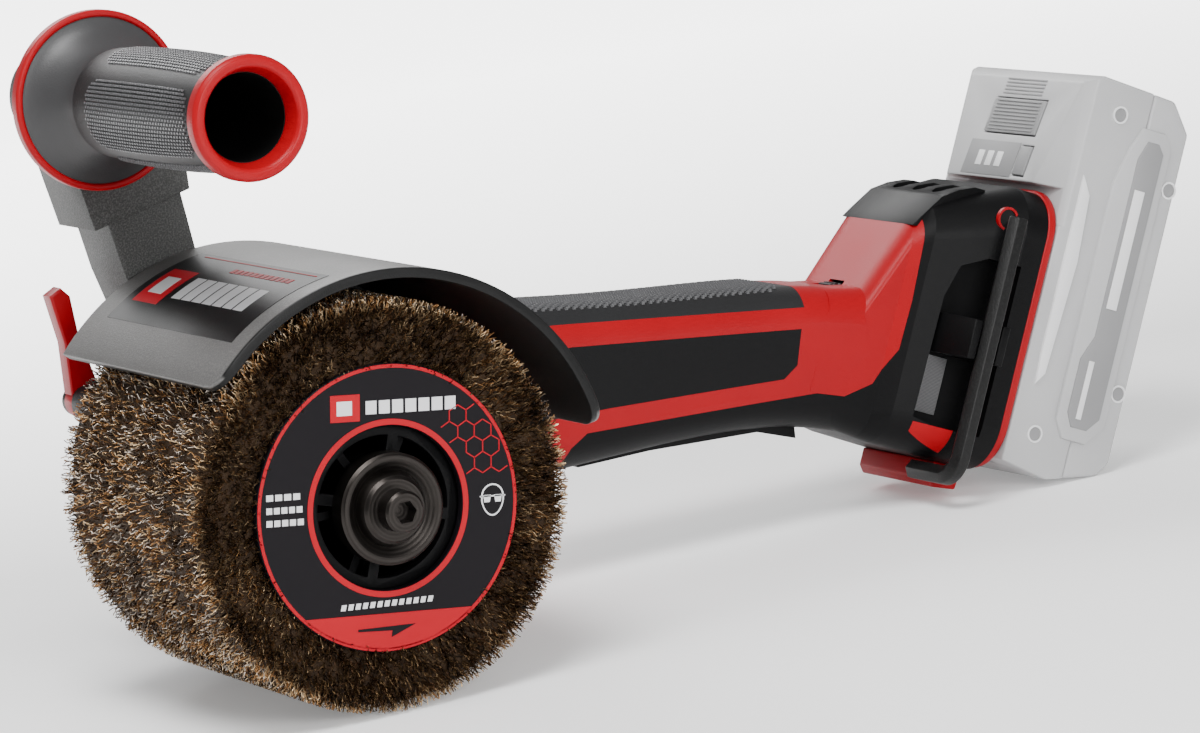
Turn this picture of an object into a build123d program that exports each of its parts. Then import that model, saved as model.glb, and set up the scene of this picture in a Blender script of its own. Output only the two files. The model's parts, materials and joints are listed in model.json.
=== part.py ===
from build123d import *
from math import cos, radians, sin, tan
import os

os.makedirs("parts", exist_ok=True)

# Cordless drum-brush grinder, in millimetres, standing as it rests on a bench.
# +X runs from the brush to the battery, +Y away from the free end of the drum, +Z up.
# The origin is at the bench, under the middle of the whole tool.

# ---- driving dimensions -------------------------------------------------------------------------
BRUSH_R = 60.0
BRUSH_X = -145.1
FACE_Y = -78.5
BRUSH_Z = BRUSH_R
MID = 130.0
SLIDE_TILT = 23.4

DRUM_LENGTH = 100.0
HUB_R = 34.0
DISC_R = 41.5
DISC_T = 2.5
INSERT_R = 23.7
SPINDLE_R = 9.5
SOCKET_FLATS = 6.0
KEY_FLATS = 6.0

NECK_R = 26.0
CASE_NEAR = 108.5
CASE_FAR = 150.5
CASE_R = 31.0
CASE_WALL = 3.0

GEAR_R = 24.0
GEAR_INNER_R = 15.0
CROWN_TEETH = 40
PINION_TEETH = 8
PINION_R = GEAR_R * PINION_TEETH / CROWN_TEETH
ADDENDUM = 1.2
DEDENDUM = 1.7
TOOTH_ROOT = 1.8
TOOTH_TIP = 0.8

GUARD_R = 69.3
GUARD_WALL = 3.0
GUARD_CENTRE = (3.5, -1.0)
GUARD_FROM = 10.0
GUARD_TO = 139.5
GUARD_NEAR = -2.0
GUARD_FAR = 107.0

HANDLE_X = -29.2
HANDLE_Z = 117.5
HANDLE_NEAR = -6.0
FLANGE_FACE = 103.0
FLANGE_R = 26.8
GRIP_R = 16.6
END_R = 17.9
HOLLOW_R = 12.6

WALL = 2.5
SKIN = 2.0
GAP = 0.4

# Sections of the barrel and grip: distance behind the brush axis, bottom, top, half width, corner.
GRIP_SECTIONS = [
    (40.0, -26.0, 28.5, 22.0, 12.0),
    (112.0, -25.0, 28.5, 22.0, 12.0),
    (150.0, -24.0, 23.8, 21.5, 11.0),
    (190.0, -25.5, 20.2, 21.5, 11.0),
    (228.0, -36.0, 13.5, 23.0, 11.0),
]

# Battery housing, measured across (n) and along (u) the tilted slide. It flares from the grip to the
# full width of the battery. Sections: distance n, bottom, top, half width, corner.
HOUSING_TOP = 149.0
HOUSING_LOW = 56.0
HOUSING_HALF = 38.0
HOUSING_WALL = 3.5
HOUSING_CORNER = 15.0
HOUSING_SECTIONS = [
    (194.0, 60.0, 101.0, 22.0, 9.0),
    (207.0, 58.0, 104.5, 22.5, 9.0),
    (217.5, 57.0, 129.5, 23.5, 9.0),
    (222.5, 56.5, 137.0, 28.0, 12.0),
    (250.0, HOUSING_LOW, HOUSING_TOP, HOUSING_HALF, HOUSING_CORNER),
]
FULL_N = 250.0
REAR_N = 258.0
COLLAR_T = 3.0

BATTERY_N = 303.0
PACK_GAP = 0.5


# ---- planes -------------------------------------------------------------------------------------
def side(y):
    """Side view at depth y: local x is X, local y is Z, from the brush axis; normal towards -Y."""
    return Plane(origin=(BRUSH_X, FACE_Y + y, BRUSH_Z), x_dir=(1, 0, 0), z_dir=(0, -1, 0))


def cross(x):
    """Section across the grip at distance x: local x is Y from the middle, local y is Z."""
    return Plane(origin=(BRUSH_X + x, FACE_Y + MID, BRUSH_Z), x_dir=(0, 1, 0), z_dir=(1, 0, 0))


def slab(n):
    """Section across the battery slide: local x is Y from the middle, local y runs up the slide."""
    c, s = cos(radians(SLIDE_TILT)), sin(radians(SLIDE_TILT))
    origin = (BRUSH_X + n * c, FACE_Y + MID, BRUSH_Z - n * s)
    return Plane(origin=origin, x_dir=(0, 1, 0), z_dir=(c, 0, -s))


def plan(u):
    """Section along the slide: local x is Y from the middle, local y is -n; normal towards +u."""
    c, s = cos(radians(SLIDE_TILT)), sin(radians(SLIDE_TILT))
    origin = (BRUSH_X + u * s, FACE_Y + MID, BRUSH_Z + u * c)
    return Plane(origin=origin, x_dir=(0, 1, 0), z_dir=(s, 0, c))


def slide_side(y):
    """Side view turned with the slide: local x is n, local y is u; normal towards -Y."""
    c, s = cos(radians(SLIDE_TILT)), sin(radians(SLIDE_TILT))
    return Plane(origin=(BRUSH_X, FACE_Y + y, BRUSH_Z), x_dir=(c, 0, -s), z_dir=(0, -1, 0))


TURN = Plane(origin=(BRUSH_X, FACE_Y, BRUSH_Z), x_dir=(1, 0, 0), z_dir=(0, 0, 1))
BRUSH_AXIS = Axis((BRUSH_X, FACE_Y, BRUSH_Z), (0, 1, 0))
HANDLE_TURN = Plane(origin=(BRUSH_X + HANDLE_X, FACE_Y, BRUSH_Z + HANDLE_Z), x_dir=(1, 0, 0), z_dir=(0, 0, 1))
HANDLE_AXIS = Axis((BRUSH_X + HANDLE_X, FACE_Y, BRUSH_Z + HANDLE_Z), (0, 1, 0))
ROTOR_AXIS = Axis((BRUSH_X, FACE_Y + MID, BRUSH_Z), (1, 0, 0))
MID_PLANE = Plane(origin=(0, FACE_Y + MID, 0), x_dir=(1, 0, 0), z_dir=(0, 1, 0))


# ---- shared forms -------------------------------------------------------------------------------
def ring(plane, axis, inner, outer, start, stop):
    """A plain ring turned about an axis along Y."""
    with BuildPart() as form:
        with BuildSketch(plane):
            with Locations(((inner + outer) / 2, (start + stop) / 2)):
                Rectangle(outer - inner, stop - start)
        revolve(axis=axis)
    return form.part


def rotor_ring(inner, outer, start, stop):
    """A plain ring turned about the motor axis."""
    with BuildPart() as form:
        with BuildSketch(side(MID)):
            with Locations(((start + stop) / 2, (inner + outer) / 2)):
                Rectangle(stop - start, outer - inner)
        revolve(axis=ROTOR_AXIS)
    return form.part


def grip_form(inset):
    """The barrel and grip as one solid, drawn in by inset."""
    with BuildPart() as form:
        for x, bottom, top, half, corner in GRIP_SECTIONS:
            with BuildSketch(cross(x)):
                with Locations((0, (top + bottom) / 2)):
                    RectangleRounded(2 * (half - inset), top - bottom - 2 * inset, corner - inset / 2)
        loft()
    return form.part


def housing_form(inset):
    """The flared front and the short straight rear of the battery housing as one solid."""
    with BuildPart() as form:
        for n, low, high, half, corner in HOUSING_SECTIONS:
            with BuildSketch(slab(n)):
                with Locations((0, (low + high) / 2)):
                    RectangleRounded(2 * (half - inset), high - low - 2 * inset, corner - inset / 2)
        loft(ruled=True)
        with BuildSketch(slab(FULL_N)):
            with Locations((0, (HOUSING_LOW + HOUSING_TOP) / 2)):
                RectangleRounded(
                    2 * (HOUSING_HALF - inset),
                    HOUSING_TOP - HOUSING_LOW - 2 * inset,
                    HOUSING_CORNER - inset / 2
                )
        extrude(amount=REAR_N - FULL_N)
    return form.part


def half_prism(plane, points, depth):
    """A straight prism over a polygon, used to cut a form into its coloured mouldings."""
    with BuildPart() as form:
        with BuildSketch(plane):
            with BuildLine():
                Polyline(*points, close=True)
            make_face()
        extrude(amount=depth, both=True)
    return form.part


# ---- drum: everything that turns with the brush ---------------------------------------------------
with BuildPart() as brush_bristles:
    with BuildSketch(TURN):
        with Locations(((HUB_R + BRUSH_R) / 2, (DISC_T + DRUM_LENGTH) / 2)):
            Rectangle(BRUSH_R - HUB_R, DRUM_LENGTH - DISC_T)
    revolve(axis=BRUSH_AXIS)
    fillet(brush_bristles.edges().filter_by(GeomType.CIRCLE).sort_by(SortBy.RADIUS)[-2:], 6.0)
brush_bristles.part.label = "brush_bristles"
export_step(brush_bristles.part, "parts/brush_bristles.step")

HUB_WALL = 3.0
BORE_WALL = 4.0
with BuildPart() as brush_hub:
    add(ring(TURN, BRUSH_AXIS, HUB_R - HUB_WALL, HUB_R, 4.0, DRUM_LENGTH - 3.0))
    add(ring(TURN, BRUSH_AXIS, SPINDLE_R, SPINDLE_R + BORE_WALL, 8.0, DRUM_LENGTH - 3.0))
    add(ring(TURN, BRUSH_AXIS, SPINDLE_R + BORE_WALL, HUB_R - HUB_WALL, 48.0, 52.0))
    with BuildSketch(side(8.0)):
        with PolarLocations((SPINDLE_R + BORE_WALL + HUB_R - HUB_WALL) / 2, 6):
            Rectangle(HUB_R - HUB_WALL - SPINDLE_R - BORE_WALL + 1.0, 2.4)
    extrude(amount=-(DRUM_LENGTH - 11.0))
brush_hub.part.label = "brush_hub"
export_step(brush_hub.part, "parts/brush_hub.step")

with BuildPart() as end_disc_outer:
    add(ring(TURN, BRUSH_AXIS, INSERT_R, DISC_R, 0, DISC_T))
    fillet(end_disc_outer.edges().filter_by(GeomType.CIRCLE).sort_by(Axis.Y)[:2], 0.6)
end_disc_outer.part.label = "end_disc_outer"
export_step(end_disc_outer.part, "parts/end_disc_outer.step")

with BuildPart() as end_disc_inner:
    add(ring(TURN, BRUSH_AXIS, SPINDLE_R + 5.0, HUB_R - 0.2, DRUM_LENGTH - 3.0, DRUM_LENGTH - 0.6))
end_disc_inner.part.label = "end_disc_inner"
export_step(end_disc_inner.part, "parts/end_disc_inner.step")

INSERT_FACE = 3.5
SLOT_INNER_R = 15.0
SLOT_OUTER_R = 20.6
SPOKE_W = 3.3
SPOKE_TURN = 73.0
with BuildPart() as hub_insert:
    add(ring(TURN, BRUSH_AXIS, SPINDLE_R, INSERT_R, INSERT_FACE, 6.0))
    add(ring(TURN, BRUSH_AXIS, SPINDLE_R, HUB_R - HUB_WALL, 4.0, 8.0))
    with BuildSketch(side(0)):
        Circle(SLOT_OUTER_R)
        Circle(SLOT_INNER_R, mode=Mode.SUBTRACT)
        for turn in (0.0, 90.0):
            Rectangle(2 * INSERT_R, SPOKE_W, rotation=SPOKE_TURN + turn, mode=Mode.SUBTRACT)
    extrude(amount=-12.0, mode=Mode.SUBTRACT)
hub_insert.part.label = "hub_insert"
export_step(hub_insert.part, "parts/hub_insert.step")

FLANGE_RIM = 16.2
FLANGE_FRONT = -3.2
FLANGE_BOSS = -5.2
SCREW_HEAD_R = 6.1
SCREW_R = 4.0
HEAD_FACE = -11.0
with BuildPart() as clamp_flange:
    with BuildSketch(TURN):
        with BuildLine():
            Polyline(
                (SCREW_R, INSERT_FACE),
                (FLANGE_RIM, INSERT_FACE),
                (FLANGE_RIM, FLANGE_FRONT + 0.8),
                (FLANGE_RIM - 0.8, FLANGE_FRONT),
                (FLANGE_RIM - 2.2, FLANGE_FRONT),
                (11.0, FLANGE_FRONT + 1.8),
                (9.8, FLANGE_BOSS + 1.0),
                (8.8, FLANGE_BOSS),
                (SCREW_R, FLANGE_BOSS),
                close=True,
            )
        make_face()
    revolve(axis=BRUSH_AXIS)
clamp_flange.part.label = "clamp_flange"
export_step(clamp_flange.part, "parts/clamp_flange.step")

with BuildPart() as clamp_screw:
    add(ring(TURN, BRUSH_AXIS, 0, SCREW_HEAD_R, HEAD_FACE, FLANGE_BOSS))
    chamfer(clamp_screw.edges().filter_by(GeomType.CIRCLE).sort_by(Axis.Y)[0], 0.7)
    add(ring(TURN, BRUSH_AXIS, 0, SCREW_R, FLANGE_BOSS, 26.0))
    with BuildSketch(side(HEAD_FACE)):
        RegularPolygon(SOCKET_FLATS / 2, 6, major_radius=False)
    extrude(amount=-4.6, mode=Mode.SUBTRACT)
clamp_screw.part.label = "clamp_screw"
export_step(clamp_screw.part, "parts/clamp_screw.step")

# Stepped spindle: drum seat, backing collar, near bearing, gear seat, far bearing.
with BuildPart() as spindle:
    with BuildSketch(TURN):
        with BuildLine():
            Polyline(
                (0, INSERT_FACE),
                (SPINDLE_R, INSERT_FACE),
                (SPINDLE_R, DRUM_LENGTH - 0.6),
                (14.0, DRUM_LENGTH - 0.6),
                (14.0, DRUM_LENGTH + 3.0),
                (10.0, DRUM_LENGTH + 3.0),
                (10.0, 117.0),
                (8.0, 117.0),
                (8.0, 128.0),
                (6.0, 128.0),
                (6.0, CASE_FAR - 0.5),
                (0, CASE_FAR - 0.5),
                close=True,
            )
        make_face()
    revolve(axis=BRUSH_AXIS)
    with BuildSketch(side(INSERT_FACE)):
        Circle(SCREW_R)
    extrude(amount=-30.0, mode=Mode.SUBTRACT)
spindle.part.label = "spindle"
export_step(spindle.part, "parts/spindle.step")


# ---- bevel gears, with the pitch cones meeting where the spindle crosses the motor axis ----------
def tooth(direction, pitch_ratio, inner_scale):
    """One straight tooth on the +X side of the apex; direction -1 is the crown, +1 the pinion."""
    stations = []
    for radius in (GEAR_INNER_R, GEAR_R):
        scale = radius / GEAR_R
        pitch = -radius * pitch_ratio if direction < 0 else radius * pitch_ratio
        root = pitch - DEDENDUM * scale - inner_scale
        tip = pitch + ADDENDUM * scale
        stations.append((radius, root, tip, scale))
    with BuildPart() as form:
        for radius, root, tip, scale in stations:
            with BuildSketch(cross(radius)):
                with BuildLine():
                    Polyline(
                        (root, -TOOTH_ROOT * scale / 2),
                        (tip, -TOOTH_TIP * scale / 2),
                        (tip, TOOTH_TIP * scale / 2),
                        (root, TOOTH_ROOT * scale / 2),
                        close=True,
                    )
                make_face()
        loft(ruled=True)
    return form.part


PITCH_RATIO = PINION_R / GEAR_R
crown_tooth = tooth(-1, PITCH_RATIO, 0.4)
pinion_tooth = tooth(1, PITCH_RATIO, 0.4)

with BuildPart() as crown_gear:
    with BuildSketch(TURN):
        with BuildLine():
            Polyline(
                (8.0, 118.0),
                (GEAR_R + 0.6, 118.0),
                (GEAR_R + 0.6, MID - GEAR_R * PITCH_RATIO - DEDENDUM),
                (GEAR_INNER_R - 1.0, MID - (GEAR_INNER_R - 1.0) * PITCH_RATIO - DEDENDUM * 0.58),
                (8.0, MID - (GEAR_INNER_R - 1.0) * PITCH_RATIO - DEDENDUM * 0.58),
                close=True,
            )
        make_face()
    revolve(axis=BRUSH_AXIS)
    for turn in range(CROWN_TEETH):
        add(crown_tooth.rotate(BRUSH_AXIS, turn * 360.0 / CROWN_TEETH))
crown_gear.part.label = "crown_gear"
export_step(crown_gear.part, "parts/crown_gear.step")

with BuildPart() as bevel_pinion:
    with BuildSketch(side(MID)):
        with BuildLine():
            Polyline(
                (GEAR_INNER_R, 0),
                (GEAR_INNER_R, (PINION_R - DEDENDUM) * GEAR_INNER_R / GEAR_R),
                (GEAR_R, PINION_R - DEDENDUM),
                (GEAR_R, 4.2),
                (27.0, 4.2),
                (27.0, 0),
                close=True,
            )
        make_face()
    revolve(axis=ROTOR_AXIS)
    for turn in range(PINION_TEETH):
        add(pinion_tooth.rotate(ROTOR_AXIS, (turn + 0.5) * 360.0 / PINION_TEETH))
bevel_pinion.part.label = "bevel_pinion"
export_step(bevel_pinion.part, "parts/bevel_pinion.step")

# ---- motor --------------------------------------------------------------------------------------
with BuildPart() as rotor_shaft:
    add(rotor_ring(0, 4.0, 27.0, 106.0))
rotor_shaft.part.label = "rotor_shaft"
export_step(rotor_shaft.part, "parts/rotor_shaft.step")

with BuildPart() as rotor_core:
    add(rotor_ring(4.0, 11.5, 56.0, 92.0))
rotor_core.part.label = "rotor_core"
export_step(rotor_core.part, "parts/rotor_core.step")

FAN_BLADES = 11
with BuildPart() as cooling_fan:
    add(rotor_ring(4.0, 7.5, 43.0, 52.0))
    add(rotor_ring(7.0, 18.0, 50.4, 52.0))
    with BuildSketch(cross(44.0)):
        with PolarLocations(12.4, FAN_BLADES):
            Rectangle(10.8, 1.3, rotation=18.0)
    extrude(amount=7.0)
cooling_fan.part.label = "cooling_fan"
export_step(cooling_fan.part, "parts/cooling_fan.step")

STATOR_TEETH = 6
with BuildPart() as motor_stator:
    add(rotor_ring(17.0, 20.4, 57.0, 91.0))
    with BuildSketch(cross(57.0)):
        with PolarLocations(15.0, STATOR_TEETH):
            Rectangle(6.0, 4.0)
        with PolarLocations(12.6, STATOR_TEETH):
            Rectangle(1.0, 9.0)
    extrude(amount=34.0)
motor_stator.part.label = "motor_stator"
export_step(motor_stator.part, "parts/motor_stator.step")

with BuildPart() as motor_windings:
    add(rotor_ring(13.4, 16.4, 54.0, 56.8))
    add(rotor_ring(13.4, 16.4, 91.2, 94.0))
    with BuildSketch(cross(54.0)):
        with PolarLocations(14.9, STATOR_TEETH):
            Rectangle(3.0, 8.6)
            Rectangle(3.0, 4.0, mode=Mode.SUBTRACT)
    extrude(amount=40.0)
motor_windings.part.label = "motor_windings"
export_step(motor_windings.part, "parts/motor_windings.step")

# ---- gear case ----------------------------------------------------------------------------------
FRONT_BEARING = (28.0, 37.0, 11.0)
REAR_BEARING = (97.0, 105.0, 9.5)
NEAR_BEARING = (107.0, 116.5, 19.0)
FAR_BEARING = (139.0, 149.0, 14.0)
PIVOT_X = -31.0
PIVOT_Z = 23.0
PIVOT_R = 3.0
LEVER_NEAR = 137.0
LEVER_FAR = 143.0

with BuildPart() as gear_case:
    with BuildSketch(side(CASE_FAR)):
        Circle(CASE_R)
        with Locations((20.0, 0)):
            RectangleRounded(40.0, 52.0, 6.0)
        with Locations((-2.0, 27.0)):
            RectangleRounded(30.0, 20.0, 4.0)
    extrude(amount=CASE_FAR - CASE_NEAR)
    add(ring(TURN, BRUSH_AXIS, 19.0, NECK_R, 101.5, CASE_NEAR))
    add(ring(TURN, BRUSH_AXIS, 0, CASE_R - CASE_WALL, 117.0, CASE_FAR), mode=Mode.SUBTRACT)
    add(ring(TURN, BRUSH_AXIS, 0, NEAR_BEARING[2], 101.5, 117.0), mode=Mode.SUBTRACT)
    add(rotor_ring(0, FRONT_BEARING[2], 20.0, 41.5), mode=Mode.SUBTRACT)
    with BuildSketch(side(LEVER_NEAR - GAP)):
        with Locations((PIVOT_X, PIVOT_Z)):
            Circle(5.5)
        with Locations((PIVOT_X + 7.0, PIVOT_Z - 4.0)):
            Rectangle(16.0, 8.0, rotation=-38.0)
    extrude(amount=LEVER_NEAR - GAP - CASE_NEAR - 4.0)
    add(ring(TURN, BRUSH_AXIS, 0, CASE_R - CASE_WALL, 117.0, CASE_FAR), mode=Mode.SUBTRACT)
gear_case.part.label = "gear_case"
export_step(gear_case.part, "parts/gear_case.step")

COVER_T = 6.0
with BuildPart() as gear_cover:
    with BuildSketch(side(CASE_FAR + COVER_T)):
        Circle(CASE_R)
        with Locations((20.0, 0)):
            RectangleRounded(36.0, 46.0, 6.0)
    extrude(amount=COVER_T)
    add(ring(TURN, BRUSH_AXIS, FAR_BEARING[2], FAR_BEARING[2] + 4.0, 140.0, CASE_FAR + 1.0))
    fillet(gear_cover.faces().sort_by(Axis.Y)[-1].edges(), 2.5)
    with Locations(side(CASE_FAR + COVER_T)):
        with PolarLocations(26.0, 3, start_angle=60.0):
            CounterBoreHole(1.7, 3.2, 2.6)
gear_cover.part.label = "gear_cover"
export_step(gear_cover.part, "parts/gear_cover.step")

with BuildPart() as cover_screws:
    with BuildSketch(side(CASE_FAR + COVER_T - 0.6)):
        with PolarLocations(26.0, 3, start_angle=60.0):
            Circle(3.1)
            Circle(1.2, mode=Mode.SUBTRACT)
    extrude(amount=2.0)
    with BuildSketch(side(CASE_FAR + COVER_T - 2.6)):
        with PolarLocations(26.0, 3, start_angle=60.0):
            Circle(1.6)
    extrude(amount=3.4)
for index, screw in enumerate(cover_screws.part.solids(), start=1):
    screw.label = f"cover_screw_{index}"
    export_step(screw, f"parts/cover_screw_{index}.step")

for name, axis_ring in (
    ("bearing_spindle_near", ring(TURN, BRUSH_AXIS, 10.0, NEAR_BEARING[2], *NEAR_BEARING[:2])),
    ("bearing_spindle_far", ring(TURN, BRUSH_AXIS, 6.0, FAR_BEARING[2], *FAR_BEARING[:2])),
    ("bearing_rotor_front", rotor_ring(4.0, FRONT_BEARING[2], *FRONT_BEARING[:2])),
    ("bearing_rotor_rear", rotor_ring(4.0, REAR_BEARING[2], *REAR_BEARING[:2])),
):
    axis_ring.label = name
    export_step(axis_ring, f"parts/{name}.step")

# ---- guard: bent sheet, rear web and the collar that turns on the neck ----------------------------
COLLAR_NEAR = 102.3
COLLAR_FAR = 107.3
COLLAR_R = 31.5
NECK_FIT = 0.08
with BuildPart() as guard:
    with BuildSketch(side(GUARD_FAR)):
        with BuildLine():
            outer = CenterArc(GUARD_CENTRE, GUARD_R, GUARD_FROM, GUARD_TO - GUARD_FROM)
            inner = CenterArc(GUARD_CENTRE, GUARD_R - GUARD_WALL, GUARD_FROM, GUARD_TO - GUARD_FROM)
            Line(outer @ 0, inner @ 0)
            Line(outer @ 1, inner @ 1)
        make_face()
    extrude(amount=GUARD_FAR - GUARD_NEAR)
    fillet(guard.edges().filter_by(lambda e: abs(e.length - GUARD_WALL) < 0.2).sort_by(Axis.Y)[:2], 8.0)
    with BuildSketch(side(COLLAR_NEAR + 2.6)):
        with BuildLine():
            web = CenterArc(GUARD_CENTRE, GUARD_R - 1.0, 24.0, 92.0)
            Line(web @ 0, (0, 0))
            Line((0, 0), web @ 1)
        make_face()
        Circle(COLLAR_R - 2.0, mode=Mode.SUBTRACT)
    extrude(amount=2.6)
    add(ring(TURN, BRUSH_AXIS, NECK_R + NECK_FIT, COLLAR_R - 2.0, COLLAR_NEAR, COLLAR_FAR))
    add(ring(TURN, BRUSH_AXIS, NECK_R + NECK_FIT, COLLAR_R, COLLAR_NEAR + 2.6, COLLAR_FAR))
guard.part.label = "guard"
export_step(guard.part, "parts/guard.step")

# Clamp: the red lever turns on a pin in the gear case and its cam presses the jaw on the collar.
with BuildPart() as clamp_lever:
    with BuildSketch(side(LEVER_FAR)):
        with BuildLine():
            Polyline(
                (-26.0, 25.5),
                (-29.0, 37.5),
                (-30.8, 45.0),
                (-31.8, 56.0),
                (-34.5, 59.0),
                (-38.4, 57.0),
                (-35.6, 42.0),
                (-35.6, 26.0),
                close=True,
            )
        make_face()
        with Locations((PIVOT_X, PIVOT_Z)):
            Circle(5.0)
            Circle(PIVOT_R + 0.06, mode=Mode.SUBTRACT)
    extrude(amount=LEVER_FAR - LEVER_NEAR)
    fillet(clamp_lever.faces().sort_by(Axis.Y)[0].edges(), 0.8)
clamp_lever.part.label = "clamp_lever"
export_step(clamp_lever.part, "parts/clamp_lever.step")

with BuildPart() as clamp_pin:
    with BuildSketch(side(LEVER_FAR + GAP)):
        with Locations((PIVOT_X, PIVOT_Z)):
            Circle(PIVOT_R)
    extrude(amount=LEVER_FAR - LEVER_NEAR + 2 * GAP)
    with BuildSketch(side(LEVER_FAR + GAP + 2.0)):
        with Locations((PIVOT_X, PIVOT_Z)):
            Circle(PIVOT_R + 1.8)
    extrude(amount=2.0)
clamp_pin.part.label = "clamp_pin"
export_step(clamp_pin.part, "parts/clamp_pin.step")

# ---- front handle on its arm --------------------------------------------------------------------
ARM_NEAR = 108.5
ARM_FAR = 134.0
BOLT_R = 4.2
with BuildPart() as handle_arm:
    with BuildSketch(side(ARM_FAR)):
        with BuildLine():
            Polyline(
                (-17.0, 37.0),
                (12.0, 37.0),
                (-0.5, 62.0),
                (-5.2, 95.1),
                (-15.0, 124.0),
                (-38.0, 124.0),
                (-31.9, 96.5),
                (-25.3, 64.0),
                close=True,
            )
        make_face()
        with Locations((HANDLE_X, HANDLE_Z)):
            Circle(15.0)
    extrude(amount=ARM_FAR - ARM_NEAR)
    with BuildSketch(side(FLANGE_FACE)):
        with Locations((HANDLE_X, HANDLE_Z)):
            Circle(13.0)
    extrude(amount=FLANGE_FACE - ARM_NEAR)
    with BuildSketch(side(ARM_FAR)):
        with Locations((HANDLE_X, HANDLE_Z)):
            Circle(BOLT_R)
    extrude(amount=ARM_FAR - FLANGE_FACE, mode=Mode.SUBTRACT)
handle_arm.part.label = "handle_arm"
export_step(handle_arm.part, "parts/handle_arm.step")

COVER_SKIN = 2.0
with BuildPart() as arm_cover:
    with BuildSketch(side(ARM_FAR)):
        with BuildLine():
            Polyline((-33.6, 78.5), (-40.3, 108.0), (-2.0, 108.0), (-1.6, 86.0), close=True)
        make_face()
    extrude(amount=ARM_FAR - ARM_NEAR + COVER_SKIN)
    with BuildSketch(side(ARM_FAR)):
        with BuildLine():
            Polyline(
                (-28.0, 77.0), (-31.9, 96.5), (-35.0, 109.0), (-9.6, 109.0), (-5.0, 95.1), (-2.9, 81.0),
                close=True
            )
        make_face()
    extrude(amount=ARM_FAR - ARM_NEAR, mode=Mode.SUBTRACT)
    with BuildSketch(side(ARM_FAR)):
        with Locations((HANDLE_X, HANDLE_Z)):
            Circle(15.0)
    extrude(amount=40.0, mode=Mode.SUBTRACT)
arm_cover.part.label = "arm_cover"
export_step(arm_cover.part, "parts/arm_cover.step")

# Core tube, and the flared flange at its root; the rubber sleeve and the two red rings are moulded on.
TUBE_FAR = 84.0
BOLT_SEAT = 90.0
BOLT_HEAD_T = 5.0
with BuildPart() as handle_tube:
    add(ring(HANDLE_TURN, HANDLE_AXIS, HOLLOW_R, GRIP_R - 2.2, 0, TUBE_FAR))
handle_tube.part.label = "handle_tube"
export_step(handle_tube.part, "parts/handle_tube.step")

with BuildPart() as handle_core:
    with BuildSketch(HANDLE_TURN):
        with BuildLine():
            Line((BOLT_R, FLANGE_FACE), (24.6, FLANGE_FACE))
            Line((24.6, FLANGE_FACE), (24.6, FLANGE_FACE - 3.0))
            flare = Spline(
                (24.6, FLANGE_FACE - 3.0),
                (18.6, 95.0),
                (GRIP_R - 2.2, TUBE_FAR),
                tangents=[(-1.0, -0.35), (0, -1)],
            )
            Polyline(
                flare @ 1, (8.0, TUBE_FAR), (8.0, BOLT_SEAT), (BOLT_R, BOLT_SEAT), (BOLT_R, FLANGE_FACE)
            )
        make_face()
    revolve(axis=HANDLE_AXIS)
handle_core.part.label = "handle_core"
export_step(handle_core.part, "parts/handle_core.step")

with BuildPart() as handle_sleeve:
    with BuildSketch(HANDLE_TURN):
        with BuildLine():
            bulge = Spline(
                (GRIP_R - 1.4, 1.5), (GRIP_R - 0.2, 22.0), (GRIP_R + 0.2, 55.0), (GRIP_R - 0.4, 83.0)
            )
            Line(bulge @ 1, (GRIP_R - 2.2, TUBE_FAR))
            Line((GRIP_R - 2.2, TUBE_FAR), (GRIP_R - 2.2, 1.5))
            Line((GRIP_R - 2.2, 1.5), bulge @ 0)
        make_face()
    revolve(axis=HANDLE_AXIS)
handle_sleeve.part.label = "handle_sleeve"
export_step(handle_sleeve.part, "parts/handle_sleeve.step")

with BuildPart() as handle_flange_ring:
    add(ring(HANDLE_TURN, HANDLE_AXIS, 24.6, FLANGE_R, FLANGE_FACE - 3.6, FLANGE_FACE))
    fillet(handle_flange_ring.edges().filter_by(GeomType.CIRCLE).group_by(Axis.Y)[0], 0.9)
handle_flange_ring.part.label = "handle_flange_ring"
export_step(handle_flange_ring.part, "parts/handle_flange_ring.step")

with BuildPart() as handle_end_ring:
    with BuildSketch(HANDLE_TURN):
        with BuildLine():
            Polyline(
                (HOLLOW_R, 0.0),
                (14.2, HANDLE_NEAR + 0.8),
                (15.0, HANDLE_NEAR),
                (16.9, HANDLE_NEAR),
                (END_R, HANDLE_NEAR + 1.2),
                (END_R, -1.0),
                (GRIP_R - 1.4, 1.5),
                (GRIP_R - 2.2, 1.5),
                (GRIP_R - 2.2, 0.0),
                close=True,
            )
        make_face()
    revolve(axis=HANDLE_AXIS)
handle_end_ring.part.label = "handle_end_ring"
export_step(handle_end_ring.part, "parts/handle_end_ring.step")

with BuildPart() as handle_bolt:
    add(ring(HANDLE_TURN, HANDLE_AXIS, 0, BOLT_R, BOLT_SEAT - BOLT_HEAD_T, ARM_FAR))
    with BuildSketch(side(BOLT_SEAT)):
        with Locations((HANDLE_X, HANDLE_Z)):
            RegularPolygon(6.5, 6, major_radius=False)
    extrude(amount=BOLT_HEAD_T)
handle_bolt.part.label = "handle_bolt"
export_step(handle_bolt.part, "parts/handle_bolt.step")

# ---- barrel, grip and battery housing -------------------------------------------------------------
outer_form = grip_form(0) + housing_form(0)
cavity_form = grip_form(SKIN + WALL) + housing_form(HOUSING_WALL)

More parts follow.
